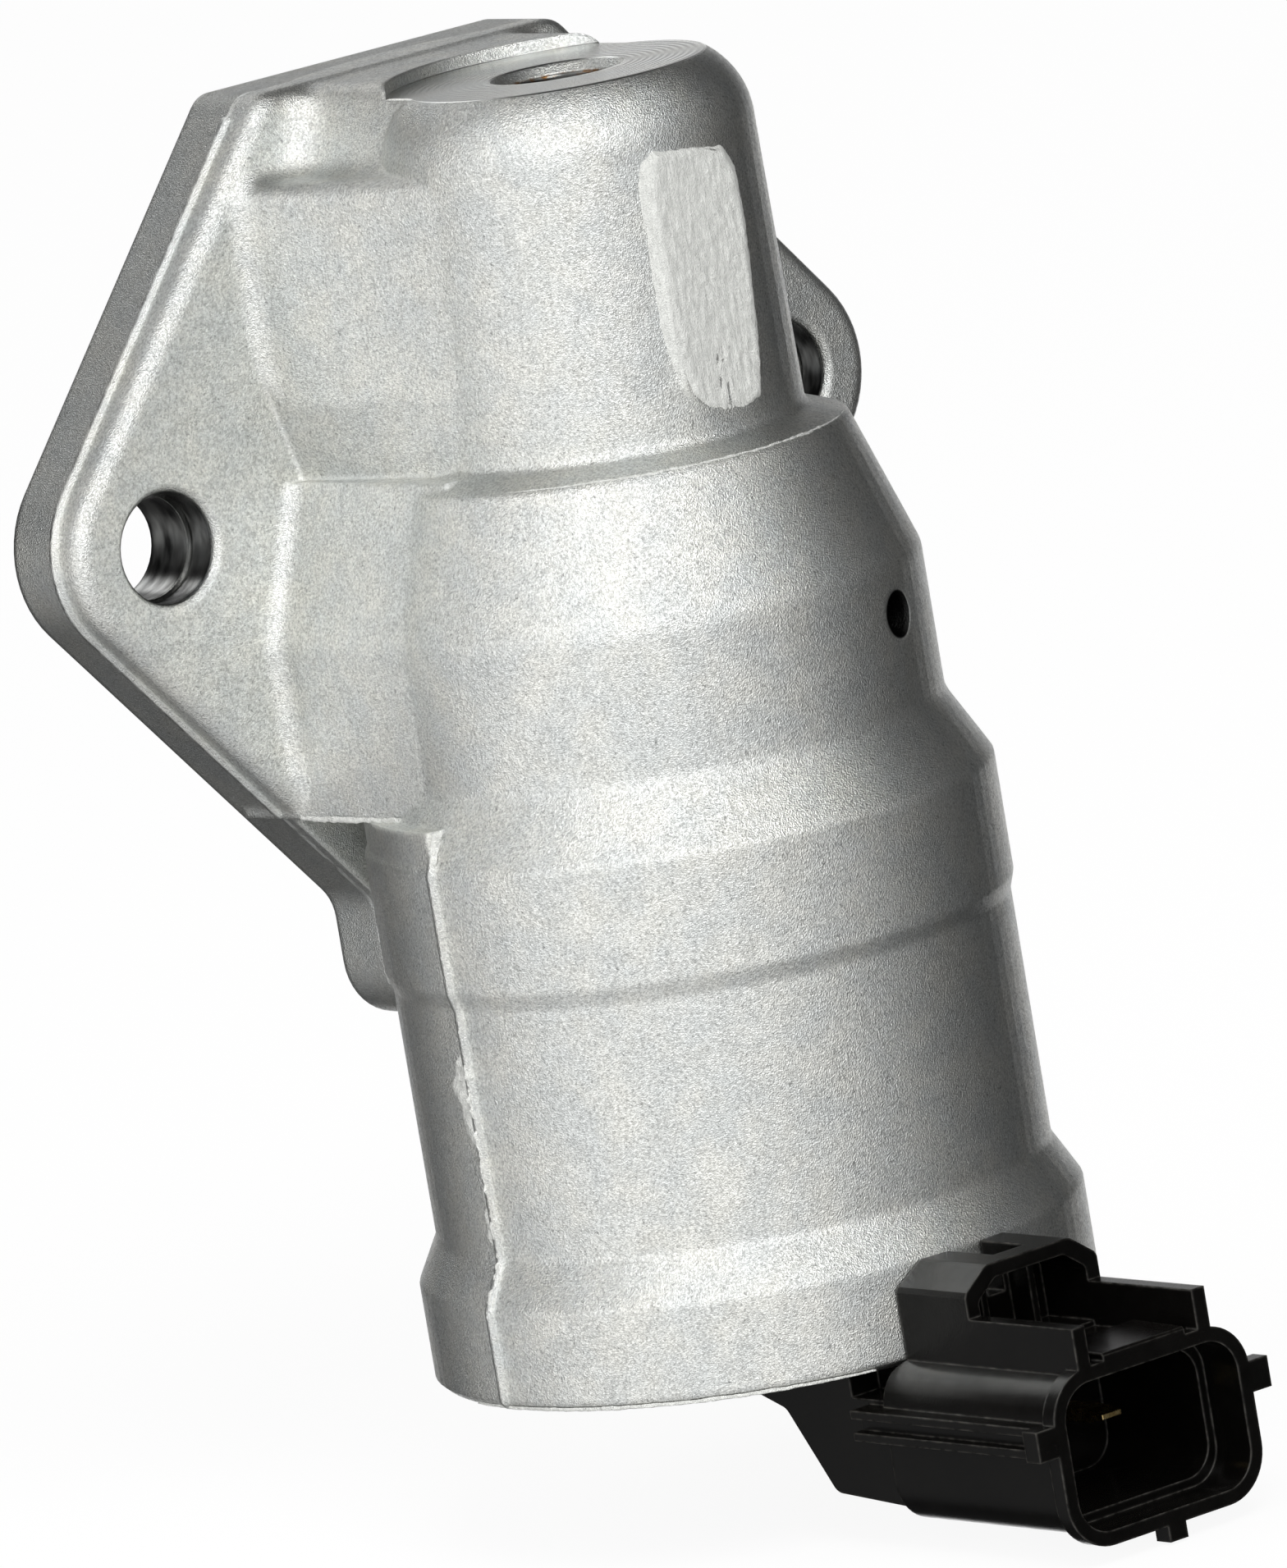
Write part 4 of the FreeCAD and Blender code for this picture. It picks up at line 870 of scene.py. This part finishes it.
# %% Floor and backdrop
def white_stage():
    """Pale material that the camera sees as white, but for shadows; mirror rays pass through it."""
    material, tree, shader = new_material("stage_white")
    tree.nodes.remove(shader)
    out = tree.nodes["Material Output"]
    rays = tree.nodes.new("ShaderNodeLightPath")
    matte = put(tree, "ShaderNodeBsdfDiffuse", {"Color": grey(0.86)})
    glow = put(tree, "ShaderNodeEmission", {"Color": grey(1.0), "Strength": 1.07})
    clear = put(tree, "ShaderNodeBsdfTransparent")
    share = math(tree, "MULTIPLY", rays.outputs["Is Camera Ray"], 0.86)
    both = put(tree, "ShaderNodeMixShader", {0: share, 1: matte.outputs[0], 2: glow.outputs[0]})
    seen = put(tree, "ShaderNodeMixShader", {0: rays.outputs["Is Glossy Ray"], 1: both.outputs[0],
                                             2: clear.outputs[0]})
    tree.links.new(seen.outputs[0], out.inputs["Surface"])
    return material


FLOOR_HALF, FLOOR_GAP = 3.0, 0.0002
floor_z = cad_box[0][2] - FLOOR_GAP
floor_mesh = bpy.data.meshes.new("studio_floor")
corners = [(-FLOOR_HALF, -FLOOR_HALF, floor_z), (FLOOR_HALF, -FLOOR_HALF, floor_z),
           (FLOOR_HALF, FLOOR_HALF, floor_z), (-FLOOR_HALF, FLOOR_HALF, floor_z)]
floor_mesh.from_pydata(corners, [], [(0, 1, 2, 3)])
floor = bpy.data.objects.new("studio_floor", floor_mesh)
floor_mesh.materials.append(white_stage())
bpy.context.scene.collection.objects.link(floor)
print("floor at", round(floor_z, 4))

# %% [markdown]
# Walls give brightness by compass angle, in degrees from the plug side towards +X. Heights give a
# factor from straight down, 0, to straight up, 1. Glows and shades are round: compass angle,
# height, inner and outer radius in degrees, and strength.

# %% Light from the room
WALLS = ((-180, 0.07), (-160, 0.09), (-150, 0.48), (-128, 0.64), (-110, 1.42), (-84, 1.26),
         (-64, 0.74), (-44, 0.64), (-24, 1.32), (-4, 1.15), (14, 0.38), (34, 0.12), (60, 0.09),
         (100, 0.04), (124, 0.05), (150, 0.05), (180, 0.07))
HEIGHTS = ((0.0, 0.60), (0.30, 0.80), (0.42, 0.98), (0.50, 1.20), (0.60, 1.30), (0.72, 1.48),
           (0.85, 0.78), (1.0, 0.40))
BRIGHTEST = 1.6
GLOWS = ((138, -15, 10, 25, 1.45), (150, 12, 8, 30, 0.32), (168, 35, 6, 17, 2.0))
SHADES = ((-158, 26, 18, 42, 0.80),)


def direction(azimuth, height):
    """Unit vector; azimuth in degrees from the plug side towards +X, height above the horizon."""
    a, h = radians(azimuth), radians(height)
    return (sin(a) * cos(h), -cos(a) * cos(h), sin(h))


def build_world():
    world = bpy.data.worlds.new("studio_world")
    bpy.context.scene.world = world
    world.use_nodes = True
    tree = world.node_tree
    background = tree.nodes["Background"]
    toward = tree.nodes.new("ShaderNodeTexCoord").outputs["Generated"]
    xyz = put(tree, "ShaderNodeSeparateXYZ", {0: toward})
    ahead = math(tree, "MULTIPLY", xyz.outputs["Y"], -1.0)
    compass = math(tree, "ARCTAN2", xyz.outputs["X"], ahead)
    around = spread(tree, compass, -pi, pi)
    walls = ramp(tree, around, [((a + 180) / 360, level / BRIGHTEST) for a, level in WALLS])
    upward = spread(tree, xyz.outputs["Z"], -1.0, 1.0)
    tall = ramp(tree, upward, [(part, level / BRIGHTEST) for part, level in HEIGHTS])
    level = times(tree, walls, tall, BRIGHTEST * BRIGHTEST)

    def lobe(azimuth, height, inner, outer, strength):
        lean = put(tree, "ShaderNodeVectorMath", {0: toward, 1: direction(azimuth, height)},
                   operation="DOT_PRODUCT").outputs["Value"]
        start, full = cos(radians(outer)), cos(radians(inner))
        return spread(tree, lean, start, full, 0.0, strength, smooth=True)

    for values in SHADES:
        level = times(tree, level, math(tree, "SUBTRACT", 1.0, lobe(*values)))
    for values in GLOWS:
        level = math(tree, "ADD", level, lobe(*values))
    rays = tree.nodes.new("ShaderNodeLightPath")
    shown = blend(tree, rays.outputs["Is Camera Ray"], level, 1.0)
    tree.links.new(shown, background.inputs["Strength"])
    background.inputs["Color"].default_value = grey(1.0)
    return world


build_world()
bpy.context.scene.view_settings.view_transform = "Standard"


def softbox(name, place, target, size, power):
    data = bpy.data.lights.new(name, "AREA")
    data.shape = "SQUARE"
    data.size = size
    data.energy = power
    lamp = bpy.data.objects.new(name, data)
    bpy.context.scene.collection.objects.link(lamp)
    away = Vector(place) - Vector(target)
    turn = away.to_track_quat("Z", "Y").to_matrix().to_4x4()
    lamp.matrix_world = Matrix.Translation(place) @ turn
    return lamp


softbox("key_softbox", (-0.30, -0.62, 0.70), (0, -0.02, 0), 0.36, 3.0)
print("lit")

# %% Finish
print("scene built")
